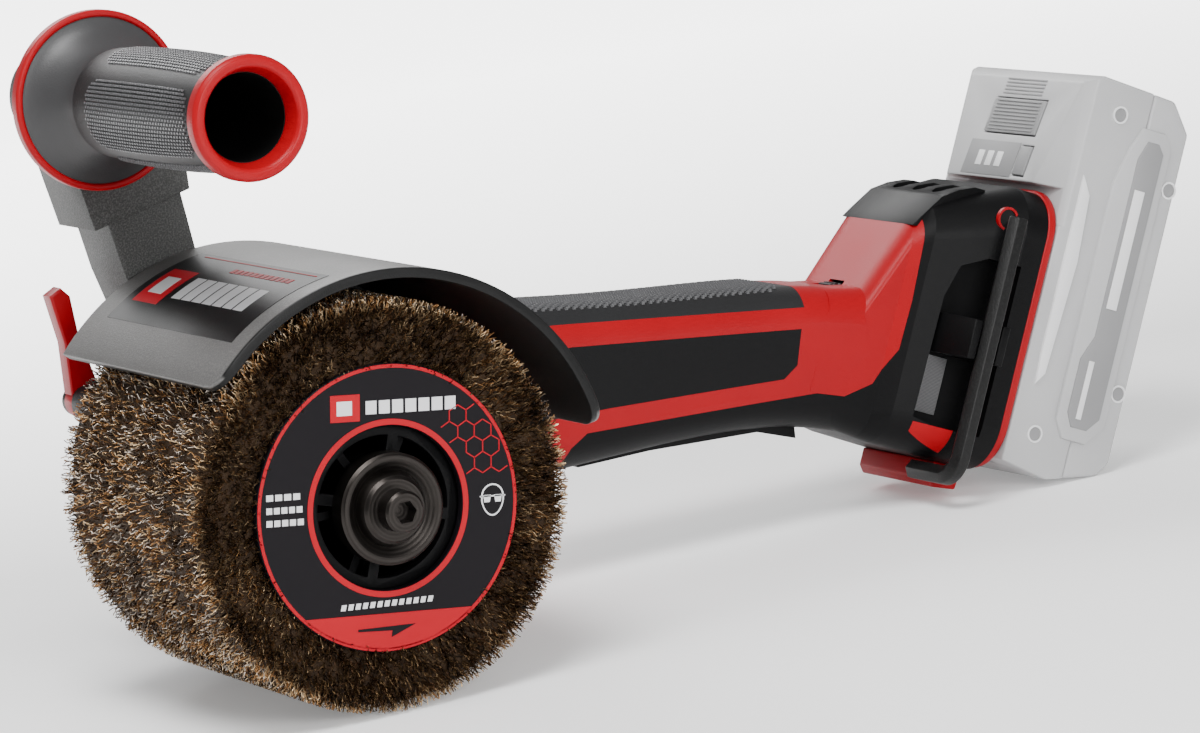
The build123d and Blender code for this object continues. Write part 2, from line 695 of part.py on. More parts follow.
# The black mouldings take the underside of the grip and everything behind the flared red front.
PANEL_T = 3.5
BORE_R = 20.5
BLACK_EDGE = [
    (110.0, -60.0),
    (112.5, -24.0),
    (117.0, -17.0),
    (123.0, -13.2),
    (207.4, -16.2),
    (217.1, -19.0),
    (227.6, -16.7),
    (237.2, -7.0),
    (244.0, 8.0),
    (255.5, 37.0),
    (262.0, 60.0),
    (320.0, 60.0),
    (320.0, -60.0),
]
RUBBER_EDGE = [(62.0, 60.0), (62.0, 22.9), (116.5, 22.4), (207.0, 11.9), (213.0, 60.0)]
PANEL_EDGE = [
    (96.0, 15.0), (121.1, 14.7), (204.5, 5.4), (201.5, -6.0), (196.1, -9.6), (131.6, -6.9), (96.0, -6.5)
]

black_zone = half_prism(side(MID), BLACK_EDGE, 60.0)
rubber_zone = half_prism(side(MID), RUBBER_EDGE, 60.0)
panel_form = (outer_form & half_prism(side(MID), PANEL_EDGE, 60.0)) - grip_form(PANEL_T)
barrel_bore = rotor_ring(0, BORE_R, 36.0, 108.0)
rubber_skin = (grip_form(0) - grip_form(SKIN)) & rubber_zone

DIAL_X = 229.0
DIAL_Z = 6.5
DIAL_R = 8.0
DIAL_W = 7.0
PADDLE_HALF = 11.0
PADDLE_PIVOT = (126.0, -16.5)
PADDLE_END = 204.0
PIN_R = 1.5
PIN_FIT = 0.06
VENT_N = 241.0
VENT_U = 128.2
VENT_SEAT = 133.5
VENT_HALF = 22.0

with BuildPart() as vent_zone:
    with BuildSketch(slide_side(MID)):
        with BuildLine():
            Polyline(
                (190.0, VENT_U),
                (219.5, VENT_U),
                (222.5, VENT_SEAT),
                (VENT_N, VENT_SEAT),
                (VENT_N, 160.0),
                (190.0, 160.0),
                close=True,
            )
        make_face()
    extrude(amount=VENT_HALF, both=True)

with BuildPart() as red_shell:
    add(outer_form)
    add(cavity_form, mode=Mode.SUBTRACT)
    add(barrel_bore, mode=Mode.SUBTRACT)
    add(black_zone, mode=Mode.SUBTRACT)
    add(rubber_skin, mode=Mode.SUBTRACT)
    add(vent_zone.part, mode=Mode.SUBTRACT)
    with BuildSketch(side(MID + DIAL_W / 2 + 1.0)):
        with Locations((DIAL_X, DIAL_Z)):
            Circle(DIAL_R + 1.0)
        with Locations((DIAL_X + 8.0, DIAL_Z)):
            Rectangle(16.0, 2 * DIAL_R)
    extrude(amount=DIAL_W + 2.0, mode=Mode.SUBTRACT)
    with BuildSketch(side(MID)):
        with Locations((DIAL_X, DIAL_Z)):
            Circle(3.6)
    extrude(amount=19.0, both=True)
    with BuildSketch(side(MID)):
        with Locations((DIAL_X, DIAL_Z)):
            Circle(DIAL_R + 1.0)
    extrude(amount=DIAL_W / 2 + 1.0, both=True, mode=Mode.SUBTRACT)
    with BuildSketch(side(MID)):
        with Locations((DIAL_X, DIAL_Z)):
            Circle(PIN_R + PIN_FIT)
    extrude(amount=9.0, both=True, mode=Mode.SUBTRACT)
    add(panel_form, mode=Mode.SUBTRACT)

for keep, side_name in ((Keep.BOTTOM, "left"), (Keep.TOP, "right")):
    half = split(red_shell.part, bisect_by=MID_PLANE, keep=keep)
    half = sorted(half.solids(), key=lambda piece: piece.volume)[-1]
    half.label = f"body_shell_{side_name}"
    export_step(half, f"parts/body_shell_{side_name}.step")

    panel = split(panel_form, bisect_by=MID_PLANE, keep=keep)
    panel = sorted(panel.solids(), key=lambda piece: piece.volume)[-1]
    panel.label = f"side_panel_{side_name}"
    export_step(panel, f"parts/side_panel_{side_name}.step")

rubber_skin = sorted(rubber_skin.solids(), key=lambda piece: piece.volume)[-1]
rubber_skin.label = "top_grip"
export_step(rubber_skin, "parts/top_grip.step")

# Side recess behind the key, in slide coordinates, with a floor plate that frames the dust filter.
RECESS = [
    (229.0, 68.0), (229.6, 108.0), (232.5, 119.0), (240.5, 123.5), (251.0, 123.5), (251.0, 66.5),
    (236.0, 66.5)
]
FRAME = [(227.0, 62.0), (227.0, 127.0), (254.0, 127.0), (254.0, 62.0)]
WINDOW = [(231.0, 71.0), (231.0, 88.0), (238.0, 88.0), (238.0, 71.0)]
FILTER = [(230.2, 70.2), (230.2, 88.8), (238.8, 88.8), (238.8, 70.2)]
RECESS_HALF = 26.5
FLOOR_T = 2.0
FILTER_T = 0.5

with BuildPart() as black_shell:
    add(outer_form & black_zone)
    add(cavity_form, mode=Mode.SUBTRACT)
    add(outer_form & half_prism(slide_side(MID), FRAME, 60.0))
    add(half_prism(slide_side(MID), FRAME, RECESS_HALF - FLOOR_T), mode=Mode.SUBTRACT)
    for y in (MID - RECESS_HALF, MID + HOUSING_HALF + 10.0):
        with BuildSketch(slide_side(y)):
            with BuildLine():
                Polyline(*RECESS, close=True)
            make_face()
        extrude(amount=HOUSING_HALF + 10.0 - RECESS_HALF, mode=Mode.SUBTRACT)
    add(vent_zone.part, mode=Mode.SUBTRACT)
    with BuildSketch(slide_side(MID)):
        with BuildLine():
            Polyline(*WINDOW, close=True)
        make_face()
    extrude(amount=50.0, both=True, mode=Mode.SUBTRACT)
    with BuildSketch(side(MID)):
        with Locations(PADDLE_PIVOT):
            Rectangle(7.0, 5.4)
    extrude(amount=18.0, both=True)
    with BuildSketch(side(MID + PADDLE_HALF + GAP)):
        with BuildLine():
            Polyline(
                (PADDLE_PIVOT[0] - 6.0, -40.0),
                (PADDLE_PIVOT[0] - 6.0, -10.0),
                (PADDLE_END + 1.0, -10.0),
                (PADDLE_END + 1.0, -50.0),
                close=True,
            )
        make_face()
    extrude(amount=2 * (PADDLE_HALF + GAP), mode=Mode.SUBTRACT)
    with BuildSketch(side(MID)):
        with Locations(PADDLE_PIVOT):
            Circle(PIN_R + PIN_FIT)
    extrude(amount=15.0, both=True, mode=Mode.SUBTRACT)
    with BuildSketch(slab(REAR_N)):
        with Locations((0, 100.0)):
            Rectangle(30.0, 40.0)
    extrude(amount=-10.0, mode=Mode.SUBTRACT)

for keep, side_name in ((Keep.BOTTOM, "left"), (Keep.TOP, "right")):
    half = split(black_shell.part, bisect_by=MID_PLANE, keep=keep)
    half = sorted(half.solids(), key=lambda piece: piece.volume)[-1]
    half.label = f"rear_shell_{side_name}"
    export_step(half, f"parts/rear_shell_{side_name}.step")

for near, side_name in ((True, "left"), (False, "right")):
    floor = MID - RECESS_HALF if near else MID + RECESS_HALF + FILTER_T
    with BuildPart() as dust_filter:
        with BuildSketch(slide_side(floor)):
            with BuildLine():
                Polyline(*FILTER, close=True)
            make_face()
        extrude(amount=FILTER_T)
    dust_filter.part.label = f"dust_filter_{side_name}"
    export_step(dust_filter.part, f"parts/dust_filter_{side_name}.step")

# Roof of the housing: a cap with three exhaust slots over the electronics.
with BuildPart() as vent_cap:
    with BuildSketch(slide_side(MID)):
        with BuildLine():
            Polyline(
                (217.0, VENT_U),
                (219.2, 131.4),
                (225.3, 139.6),
                (231.0, 143.2),
                (237.0, 145.6),
                (VENT_N, 145.6),
                (VENT_N, VENT_SEAT),
                (222.5, VENT_SEAT),
                (219.5, VENT_U),
                close=True,
            )
        make_face()
    extrude(amount=VENT_HALF, both=True)
    with BuildSketch(plan(120.0)):
        with Locations((-12.0, -234.0), (0, -234.0), (12.0, -234.0)):
            SlotOverall(12.0, 6.4, rotation=90)
    extrude(amount=40.0, mode=Mode.SUBTRACT)
vent_cap.part.label = "vent_cap"
export_step(vent_cap.part, "parts/vent_cap.step")

# Red foot under the housing.
with BuildPart() as housing_foot:
    with BuildSketch(slide_side(MID)):
        with BuildLine():
            Polyline(
                (246.4, HOUSING_LOW), (246.4, 50.0), (248.4, 47.6), (257.0, 48.6), (257.5, HOUSING_LOW),
                close=True
            )
        make_face()
    extrude(amount=22.0, both=True)
housing_foot.part.label = "housing_foot"
export_step(housing_foot.part, "parts/housing_foot.step")

# Red collar behind the housing, with the T-rail that carries the battery.
RAIL_LOW = 72.0
RAIL_HIGH = 134.0
STEM_HALF = 18.0
HEAD_HALF = 23.0
STEM_N = REAR_N + COLLAR_T
HEAD_N = STEM_N + 4.0
RAIL_N = HEAD_N + 3.5
with BuildPart() as battery_collar:
    with BuildSketch(slab(REAR_N)):
        with Locations((0, (HOUSING_LOW + HOUSING_TOP) / 2 + 1.0)):
            RectangleRounded(2 * HOUSING_HALF, HOUSING_TOP - HOUSING_LOW, HOUSING_CORNER)
    extrude(amount=COLLAR_T)
    for half, start, stop in ((STEM_HALF, STEM_N, HEAD_N), (HEAD_HALF, HEAD_N, RAIL_N)):
        with BuildSketch(slab(start)):
            with Locations((0, (RAIL_LOW + RAIL_HIGH) / 2)):
                Rectangle(2 * half, RAIL_HIGH - RAIL_LOW)
        extrude(amount=stop - start)
    with BuildSketch(slab(REAR_N)):
        with Locations((0, 100.0)):
            Rectangle(28.0, 36.0)
    extrude(amount=20.0, mode=Mode.SUBTRACT)
battery_collar.part.label = "battery_collar"
export_step(battery_collar.part, "parts/battery_collar.step")

with BuildPart() as terminal_block:
    with BuildSketch(slab(246.0)):
        with Locations((0, 100.0)):
            Rectangle(26.0, 34.0)
    extrude(amount=REAR_N + 6.0 - 246.0)
    with BuildSketch(slab(REAR_N + 6.0)):
        with Locations((-8.0, 100.0), (0, 100.0), (8.0, 100.0)):
            Rectangle(1.6, 24.0)
    extrude(amount=4.0)
terminal_block.part.label = "terminal_block"
export_step(terminal_block.part, "parts/terminal_block.step")

with BuildPart() as electronics_module:
    with BuildSketch(slab(224.0)):
        with Locations((0, 97.0)):
            RectangleRounded(42.0, 52.0, 3.0)
    extrude(amount=22.0)
    with BuildSketch(slab(224.0)):
        with Locations((0, 97.0)):
            with GridLocations(0, 5.2, 1, 9):
                Rectangle(36.0, 2.0)
    extrude(amount=-4.0)
electronics_module.part.label = "electronics_module"
export_step(electronics_module.part, "parts/electronics_module.step")

with BuildPart() as switch_unit:
    with BuildSketch(side(MID)):
        with Locations((168.0, -1.0)):
            RectangleRounded(34.0, 17.0, 2.0)
        with Locations((176.0, -10.5)):
            Rectangle(5.0, 2.6)
    extrude(amount=12.0, both=True)
switch_unit.part.label = "switch_unit"
export_step(switch_unit.part, "parts/switch_unit.step")

with BuildPart() as paddle_switch:
    with BuildSketch(side(MID)):
        with BuildLine():
            Polyline(
                (122.5, -13.0),
                (129.5, -13.0),
                (PADDLE_END, -22.0),
                (PADDLE_END, -31.5),
                (190.0, -26.8),
                (150.0, -25.2),
                (124.0, -25.6),
                (122.0, -22.0),
                close=True,
            )
        make_face()
    extrude(amount=PADDLE_HALF, both=True)
    with BuildSketch(side(MID)):
        with Locations(PADDLE_PIVOT):
            Circle(PIN_R)
    extrude(amount=14.5, both=True)
    with BuildSketch(side(MID)):
        with Locations((184.0, -25.0)):
            Rectangle(18.0, 20.0)
    extrude(amount=4.4, both=True, mode=Mode.SUBTRACT)
    with BuildSketch(side(MID)):
        with Locations((184.0, -23.4)):
            Circle(PIN_R)
    extrude(amount=6.0, both=True)
paddle_switch.part.label = "paddle_switch"
export_step(paddle_switch.part, "parts/paddle_switch.step")

# Lock-off tab inside the paddle: it has to be swung before the paddle can be squeezed.
with BuildPart() as lock_off:
    with BuildSketch(side(MID)):
        with Locations((184.0, -23.4)):
            Circle(3.4)
        with BuildLine():
            Polyline((181.5, -22.0), (186.5, -22.0), (184.8, -27.2), (181.5, -27.0), close=True)
        make_face()
        with Locations((184.0, -23.4)):
            Circle(PIN_R + PIN_FIT, mode=Mode.SUBTRACT)
    extrude(amount=4.0, both=True)
lock_off.part.label = "lock_off"
export_step(lock_off.part, "parts/lock_off.step")

DIAL_RIBS = 24
with BuildPart() as speed_dial:
    with BuildSketch(side(MID)):
        with Locations((DIAL_X, DIAL_Z)):
            Circle(DIAL_R)
            with PolarLocations(DIAL_R, DIAL_RIBS):
                Circle(0.5, mode=Mode.SUBTRACT)
    extrude(amount=DIAL_W / 2, both=True)
    with BuildSketch(side(MID)):
        with Locations((DIAL_X, DIAL_Z)):
            Circle(PIN_R)
    extrude(amount=8.5, both=True)
speed_dial.part.label = "speed_dial"
export_step(speed_dial.part, "parts/speed_dial.step")

# ---- battery ------------------------------------------------------------------------------------
SLIDE_COS = cos(radians(SLIDE_TILT))
SLIDE_SIN = sin(radians(SLIDE_TILT))
PACK_N = STEM_N + PACK_GAP
CONTACT_N = BATTERY_N - 4.0
CONTACT_U = (CONTACT_N * SLIDE_SIN - BRUSH_R) / SLIDE_COS
PACK_SPLIT = 286.0
PACK_OUTLINE = [
    (PACK_N, 61.5),
    (280.0, 58.8),
    (CONTACT_N, CONTACT_U),
    (BATTERY_N, CONTACT_U + 5.0),
    (BATTERY_N, 180.5),
    (295.0, 189.8),
    (265.0, 191.0),
    (260.5, 187.5),
    (255.4, 152.0),
    (PACK_N, 152.0),
]
SHOULDER = [(25.3, -245.0), (25.3, -255.0), (38.4, -263.5), (60.0, -263.5), (60.0, -245.0)]
CELL_R = 10.4
CELL_PITCH = 21.3
CELL_N = 286.0
CELL_U = 80.4
LATCH_TRAVEL = 3.0
LATCH = [(257.3, 168.0), (259.1, 180.0), (262.5, 180.0), (262.5, 168.0)]
LATCH_HALF = 15.0
LATCH_MIDDLE = -2.0
GAUGE = [(255.3, 154.0), (256.6, 164.0), (259.5, 164.0), (259.5, 154.0)]
GAUGE_HALF = 3.2
GAUGE_MIDDLE = -15.5
GAUGE_TRAVEL = 0.8

with BuildPart() as pack:
    with BuildSketch(slide_side(MID)):
        with BuildLine():
            Polyline(*PACK_OUTLINE, close=True)
        make_face()
    extrude(amount=HOUSING_HALF, both=True)
    for shoulder in (SHOULDER, [(-y, n) for y, n in SHOULDER]):
        with BuildSketch(plan(140.0)):
            with BuildLine():
                Polyline(*shoulder, close=True)
            make_face()
        extrude(amount=70.0, mode=Mode.SUBTRACT)
    for half, start, stop in (
        (STEM_HALF, STEM_N - 1.0, HEAD_N + GAP),
        (HEAD_HALF, HEAD_N - GAP, RAIL_N + GAP),
    ):
        with BuildSketch(slab(start)):
            with Locations((0, (40.0 + RAIL_HIGH + GAP) / 2)):
                Rectangle(2 * (half + GAP), RAIL_HIGH + GAP - 40.0)
        extrude(amount=stop - start, mode=Mode.SUBTRACT)
    with BuildSketch(slide_side(MID)):
        with Locations((CELL_N, CELL_U + 2 * CELL_PITCH)):
            RectangleRounded(25.0, 108.0, 3.0)
    extrude(amount=35.0, both=True, mode=Mode.SUBTRACT)
    for outline, middle, half, travel in (
        (LATCH, LATCH_MIDDLE, LATCH_HALF, LATCH_TRAVEL),
        (GAUGE, GAUGE_MIDDLE, GAUGE_HALF, GAUGE_TRAVEL),
    ):
        low = min(u for n, u in outline) - GAP
        high = max(u for n, u in outline) + GAP
        depth = max(n for n, u in outline) + travel + GAP
        with BuildSketch(slab(depth)):
            with Locations((middle, (low + high) / 2)):
                Rectangle(2 * (half + GAP), high - low)
        extrude(amount=-30.0, mode=Mode.SUBTRACT)

split_plane = slab(PACK_SPLIT)
for keep, name in ((Keep.BOTTOM, "battery_front"), (Keep.TOP, "battery_back")):
    half = split(pack.part, bisect_by=split_plane, keep=keep)
    half = sorted(half.solids(), key=lambda piece: piece.volume)[-1]
    half.label = name
    export_step(half, f"parts/{name}.step")

with BuildPart() as battery_cells:
    with BuildSketch(slide_side(MID)):
        for index in range(5):
            with Locations((CELL_N, CELL_U + index * CELL_PITCH)):
                Circle(CELL_R)
    extrude(amount=33.0, both=True)
    for y in (MID - 33.0, MID + 34.5):
        with BuildSketch(slide_side(y)):
            with Locations((CELL_N, CELL_U + 2 * CELL_PITCH)):
                RectangleRounded(20.0, 105.0, 3.0)
        extrude(amount=1.5)
battery_cells.part.label = "battery_cells"
export_step(battery_cells.part, "parts/battery_cells.step")

for outline, middle, half, name in (
    (LATCH, LATCH_MIDDLE, LATCH_HALF, "battery_latch"),
    (GAUGE, GAUGE_MIDDLE, GAUGE_HALF, "gauge_button"),
):
    with BuildPart() as button:
        with BuildSketch(slide_side(MID + middle)):
            with BuildLine():
                Polyline(*outline, close=True)
            make_face()
        extrude(amount=half, both=True)
    button.part.label = name
    export_step(button.part, f"parts/{name}.step")

# ---- hex key in its clip ------------------------------------------------------------------------
KEY_N = 242.0
KEY_Y = 86.5
KEY_TOP = 138.0
KEY_LOW = HOUSING_LOW - KEY_FLATS / 2 - 1.1
KEY_REACH = 112.0
KEY_BEND = 7.0
key_plane = slab(KEY_N)
with BuildPart() as hex_key:
    with BuildLine(key_plane):
        key_path = FilletPolyline(
            (KEY_Y - MID, KEY_TOP), (KEY_Y - MID, KEY_LOW), (KEY_REACH - MID, KEY_LOW), radius=KEY_BEND
        )
    with BuildSketch(Plane(origin=key_path @ 0, z_dir=key_path % 0)):
        RegularPolygon(KEY_FLATS / 2, 6, major_radius=False)
    sweep()
hex_key.part.label = "hex_key"
export_step(hex_key.part, "parts/hex_key.step")

# Two prongs stand from the floor of the recess and hold the key; the front one is a wide wedge.
CLIP_LOW = 90.0
CLIP_HIGH = 103.0
CLIP_FIT = 0.9
CLIP_FRONT = 8.0
CLIP_REAR = 3.0
CLIP_REACH = HOUSING_HALF + 6.0 - RECESS_HALF
with BuildPart() as key_clip:
    with BuildSketch(slide_side(MID - RECESS_HALF)):
        for middle, width in (
            (KEY_N - KEY_FLATS / 2 - CLIP_FIT - CLIP_FRONT / 2, CLIP_FRONT),
            (KEY_N + KEY_FLATS / 2 + CLIP_FIT + CLIP_REAR / 2, CLIP_REAR),
        ):
            with Locations((middle, (CLIP_LOW + CLIP_HIGH) / 2)):
                Rectangle(width, CLIP_HIGH - CLIP_LOW)
    extrude(amount=CLIP_REACH)
    with BuildSketch(slide_side(MID - RECESS_HALF)):
        with Locations((KEY_N, (CLIP_LOW + CLIP_HIGH) / 2)):
            Rectangle(2 * CLIP_REAR + KEY_FLATS, CLIP_HIGH - CLIP_LOW)
    extrude(amount=1.5)
    with BuildSketch(plan(CLIP_LOW)):
        with BuildLine():
            Polyline(
                (-RECESS_HALF - 1.5, -200.0),
                (-RECESS_HALF - 1.5, CLIP_FRONT + CLIP_FIT + KEY_FLATS / 2 - KEY_N),
                (-RECESS_HALF - CLIP_REACH, 3.0 + CLIP_FIT + KEY_FLATS / 2 - KEY_N),
                (-RECESS_HALF - CLIP_REACH - 2.0, -200.0),
                close=True,
            )
        make_face()
    extrude(amount=CLIP_HIGH - CLIP_LOW, mode=Mode.SUBTRACT)
key_clip.part.label = "key_clip"
export_step(key_clip.part, "parts/key_clip.step")
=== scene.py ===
import json
import math
import random

import bmesh
import bpy
from mathutils import Matrix, Vector
from mathutils.bvhtree import BVHTree

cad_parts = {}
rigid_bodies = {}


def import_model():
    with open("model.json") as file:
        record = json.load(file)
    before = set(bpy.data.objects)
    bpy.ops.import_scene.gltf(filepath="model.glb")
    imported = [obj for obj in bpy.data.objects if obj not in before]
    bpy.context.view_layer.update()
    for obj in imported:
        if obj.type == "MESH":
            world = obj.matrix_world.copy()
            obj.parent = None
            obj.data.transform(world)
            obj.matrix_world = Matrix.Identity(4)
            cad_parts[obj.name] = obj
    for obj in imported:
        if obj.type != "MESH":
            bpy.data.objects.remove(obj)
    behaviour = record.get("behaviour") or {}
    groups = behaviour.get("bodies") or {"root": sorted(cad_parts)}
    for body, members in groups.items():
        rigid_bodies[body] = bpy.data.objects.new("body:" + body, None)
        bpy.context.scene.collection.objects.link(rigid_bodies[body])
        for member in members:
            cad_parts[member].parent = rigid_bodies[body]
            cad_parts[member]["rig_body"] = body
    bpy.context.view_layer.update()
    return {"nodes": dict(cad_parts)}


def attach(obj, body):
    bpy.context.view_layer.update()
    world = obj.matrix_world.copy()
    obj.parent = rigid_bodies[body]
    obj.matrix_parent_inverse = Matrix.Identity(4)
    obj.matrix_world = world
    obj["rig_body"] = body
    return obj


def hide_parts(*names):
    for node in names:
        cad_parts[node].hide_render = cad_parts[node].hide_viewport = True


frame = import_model()

# ---- Bench, light and camera --------------------------------------------------------------------
# The tool stands on a pale bench top that runs up into a backdrop, under two large soft lamps
# and a bright room, and is seen from its free end, a little from above. The backdrop is painted
# light: the bench top glows, faintly under the tool and more brightly further back.

MM = 0.001
BRUSH_AXIS = Vector((-145.1, 0.0, 60.0)) * MM
FREE_FACE = -78.5 * MM
MIDDLE = 130.0


def from_brush(x, y, z):
    """A place given behind, beyond and above the free end of the brush axis, in millimetres."""
    return Vector((BRUSH_AXIS.x + x * MM, FREE_FACE + y * MM, BRUSH_AXIS.z + z * MM))


def flat_rest(bm, name, material, smooth_angle=None):
    """Ends a bmesh as an object at the origin with one material."""
    mesh = bpy.data.meshes.new(name)
    bm.to_mesh(mesh)
    bm.free()
    mesh.materials.append(material)
    piece = bpy.data.objects.new(name, mesh)
    bpy.context.collection.objects.link(piece)
    if smooth_angle is not None:
        mesh.shade_smooth()
        mesh.set_sharp_from_angle(angle=math.radians(smooth_angle))
    return piece


class Link:
    """A shader socket that takes part in sums, so that a pattern reads as its formula."""

    tree = None

    def __init__(self, socket):
        self.socket = socket

    @classmethod
    def node(cls, kind, settings=None, out=0, **values):
        made = cls.tree.nodes.new(kind)
        for key, value in (settings or {}).items():
            setattr(made, key, value)
        for key, value in values.items():
            spot = made.inputs[int(key[1:])] if key[0] == "_" else made.inputs[key.replace("_", " ")]
            if isinstance(value, Link):
                cls.tree.links.new(value.socket, spot)
            else:
                spot.default_value = value
        return Link(made.outputs[out])

    def math(self, operation, other=0.0, clamp=False):
        settings = {"operation": operation, "use_clamp": clamp}
        return Link.node("ShaderNodeMath", settings, _0=self, _1=other)

    def __add__(self, other):
        return self.math("ADD", other)

    def __sub__(self, other):
        return self.math("SUBTRACT", other)

    def __mul__(self, other):
        return self.math("MULTIPLY", other)

    def __rsub__(self, other):
        return Link.node("ShaderNodeMath", {"operation": "SUBTRACT"}, _0=other, _1=self)

    __radd__ = __add__
    __rmul__ = __mul__

    def __gt__(self, other):
        return self.math("GREATER_THAN", other)

    def __lt__(self, other):
        return self.math("LESS_THAN", other)

    def sin(self):
        return self.math("SINE")

    def root(self):
        return self.math("SQRT")

    def clamped(self):
        return self.math("ADD", 0.0, clamp=True)

    def mix(self, low, high):
        return Link.node(
            "ShaderNodeMix", {"data_type": "RGBA"}, out=2, _0=self, _6=low, _7=high
        )


def rgb(red, green, blue):
    """A colour from its 8-bit screen values."""
    parts = [c / 255.0 for c in (red, green, blue)]
    return tuple(c / 12.92 if c <= 0.04045 else ((c + 0.055) / 1.055) ** 2.4 for c in parts) + (1.0,)


def finish_of(name, metallic=0.0, **fixed):
    """An empty finish with its shader: returns the material, and its sockets ready to be filled."""
    material = bpy.data.materials.new(name)
    material.use_nodes = True
    Link.tree = material.node_tree
    shader = material.node_tree.nodes["Principled BSDF"]
    shader.inputs["Metallic"].default_value = metallic
    for key, value in fixed.items():
        shader.inputs[key.replace("_", " ")].default_value = value
    return material, shader


def fill(shader, **links):
    """Joins worked-out colours, roughness and bumps to the shader."""
    for key, value in links.items():
        spot = shader.inputs[key.replace("_", " ")]
        if isinstance(value, Link):
            shader.id_data.links.new(value.socket, spot)
        else:
            spot.default_value = value


def place():
    """The surface point in the object's own frame."""
    return Link.node("ShaderNodeTexCoord", out=3)


def noise(scale, detail=3.0):
    return Link.node("ShaderNodeTexNoise", Vector=place(), Scale=scale, Detail=detail)


def along(index):
    """One coordinate of the surface point in the object's frame, in metres."""
    return Link.node("ShaderNodeSeparateXYZ", out=index, Vector=place())


# Painted light: the bench top glows, faintly under the tool and more brightly further back.
bench_paint_and_glow, bench_shader = finish_of("bench_paint_and_glow", Emission_Strength=4.5, Specular_IOR_Level=0.1)
backdrop_glow = ((along(1) - 0.25) * 0.9 + 0.03).clamped()
fill(
    bench_shader,
    Base_Color=noise(9.0).mix((0.92, 0.92, 0.92, 1), (0.95, 0.95, 0.95, 1)),
    Roughness=0.9,
    Emission_Color=backdrop_glow.mix((0.05, 0.05, 0.05, 1), (1, 1, 1, 1)),
)
bm = bmesh.new()
bmesh.ops.create_grid(bm, x_segments=1, y_segments=1, size=3.0)
flat_rest(bm, "bench_top", bench_paint_and_glow)

world = bpy.data.worlds.new("room")
bpy.context.scene.world = world
world.use_nodes = True
world.node_tree.nodes["Background"].inputs["Color"].default_value = (1.0, 1.0, 1.0, 1.0)
world.node_tree.nodes["Background"].inputs["Strength"].default_value = 0.4


def soft_lamp(name, position, aim, size, power):
    lamp = bpy.data.lights.new(name, "AREA")
    lamp.shape = "RECTANGLE"
    lamp.size, lamp.size_y = size
    lamp.energy = power
    holder = bpy.data.objects.new(name, lamp)
    holder.location = position
    holder.rotation_euler = (Vector(aim) - Vector(position)).to_track_quat("-Z", "Y").to_euler()
    bpy.context.collection.objects.link(holder)


soft_lamp("key_lamp", (-0.45, -0.45, 1.25), (0, 0, 0.08), (0.6, 0.6), 20.0)
soft_lamp("fill_lamp", (-0.15, -1.25, 0.5), (-0.05, 0, 0.05), (0.5, 0.4), 12.0)
soft_lamp("rim_lamp", (0.1, 1.0, 0.8), (0, 0, 0.1), (0.9, 0.5), 10.0)

SIGHT = from_brush(-632.4, -1333.8, 283.0)
RIGHTWARDS = Vector((0.8686, -0.4817, -0.1164)).normalized()
BACKWARDS = Vector((-0.461, -0.8716, 0.1669)).normalized()
camera = bpy.data.cameras.new("camera")
camera.sensor_width = 36.0
camera.lens = 158.1
camera_object = bpy.data.objects.new("camera", camera)
bpy.context.collection.objects.link(camera_object)
upwards = BACKWARDS.cross(RIGHTWARDS).normalized()
RIGHTWARDS = upwards.cross(BACKWARDS).normalized()
turn = Matrix((RIGHTWARDS, upwards, BACKWARDS)).transposed()
camera_object.matrix_world = Matrix.Translation(SIGHT) @ turn.to_4x4()
bpy.context.scene.camera = camera_object

# ---- Wire drum ----------------------------------------------------------------------------------
# The drum is packed with thousands of crimped steel and brass wires that stand out from the hub
# and splay over both ends. A dark core of packed wire shows only between the tips; its
# near-black colour is painted shade, the shade deep inside the pack.
DRUM_R = 60.0
DRUM_FAR = 100.0
CORNER = 6.0
WIRE_R = 0.15
WIRE_JOINTS = 6
CORE_GAP = 2.6
CORE_R = DRUM_R - CORE_GAP
SEAM = 0.002 * MM
TURNED_STEPS = 96
ROUND_TURN = 35.0

# Every node ends up in finished, either given a finish or replaced by a finished piece.
finished = set()


def belongs(piece, node):
    """The piece moves with the node's body."""
    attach(piece, frame["nodes"][node]["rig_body"])
    return piece


def turned(name, profile, centre, material):
    """A ring turned about an axis along Y through centre; the profile is pairs of radius and depth."""
    bm = bmesh.new()
    corners = [bm.verts.new((centre.x + r * MM, FREE_FACE + y * MM, centre.z)) for r, y in profile]
    edges = [bm.edges.new(pair) for pair in zip(corners, corners[1:] + corners[:1])]
    bmesh.ops.spin(
        bm, geom=corners + edges, cent=centre, axis=(0, 1, 0), angle=math.tau, steps=TURNED_STEPS,
        use_merge=True,
    )
    bmesh.ops.remove_doubles(bm, verts=bm.verts, dist=SEAM)
    bmesh.ops.recalc_face_normals(bm, faces=bm.faces)
    return flat_rest(bm, name, material, smooth_angle=ROUND_TURN)


def bump(height, distance):
    """Fine relief from a height between 0 and 1, as deep as distance."""
    return Link.node("ShaderNodeBump", Height=height, Distance=distance)


# Painted shade: the packed core is near-black, as the inside of the wire pack lies in shade.
shaded_core_wire, core_shader = finish_of("packed_wire_shade", metallic=0.3, Specular_IOR_Level=0.3)
strands = noise(900.0, 4.0)
fill(
    core_shader,
    Base_Color=strands.mix((0.004, 0.002, 0.001, 1), (0.07, 0.036, 0.014, 1)),
    Roughness=strands * 0.3 + 0.5,
    Normal=bump(strands, 0.0008),
)
core_profile = [
    (34.0, CORE_GAP + 0.6), (CORE_R - 3.0, CORE_GAP + 0.6), (CORE_R, CORE_GAP + 4.0),
    (CORE_R, DRUM_FAR - CORE_GAP - 4.0), (CORE_R - 3.0, DRUM_FAR - CORE_GAP), (34.0, DRUM_FAR - CORE_GAP),
]
core = turned("packed_core", core_profile, BRUSH_AXIS, shaded_core_wire)
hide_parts("brush_bristles")
belongs(core, "brush_bristles")
finished.add("brush_bristles")


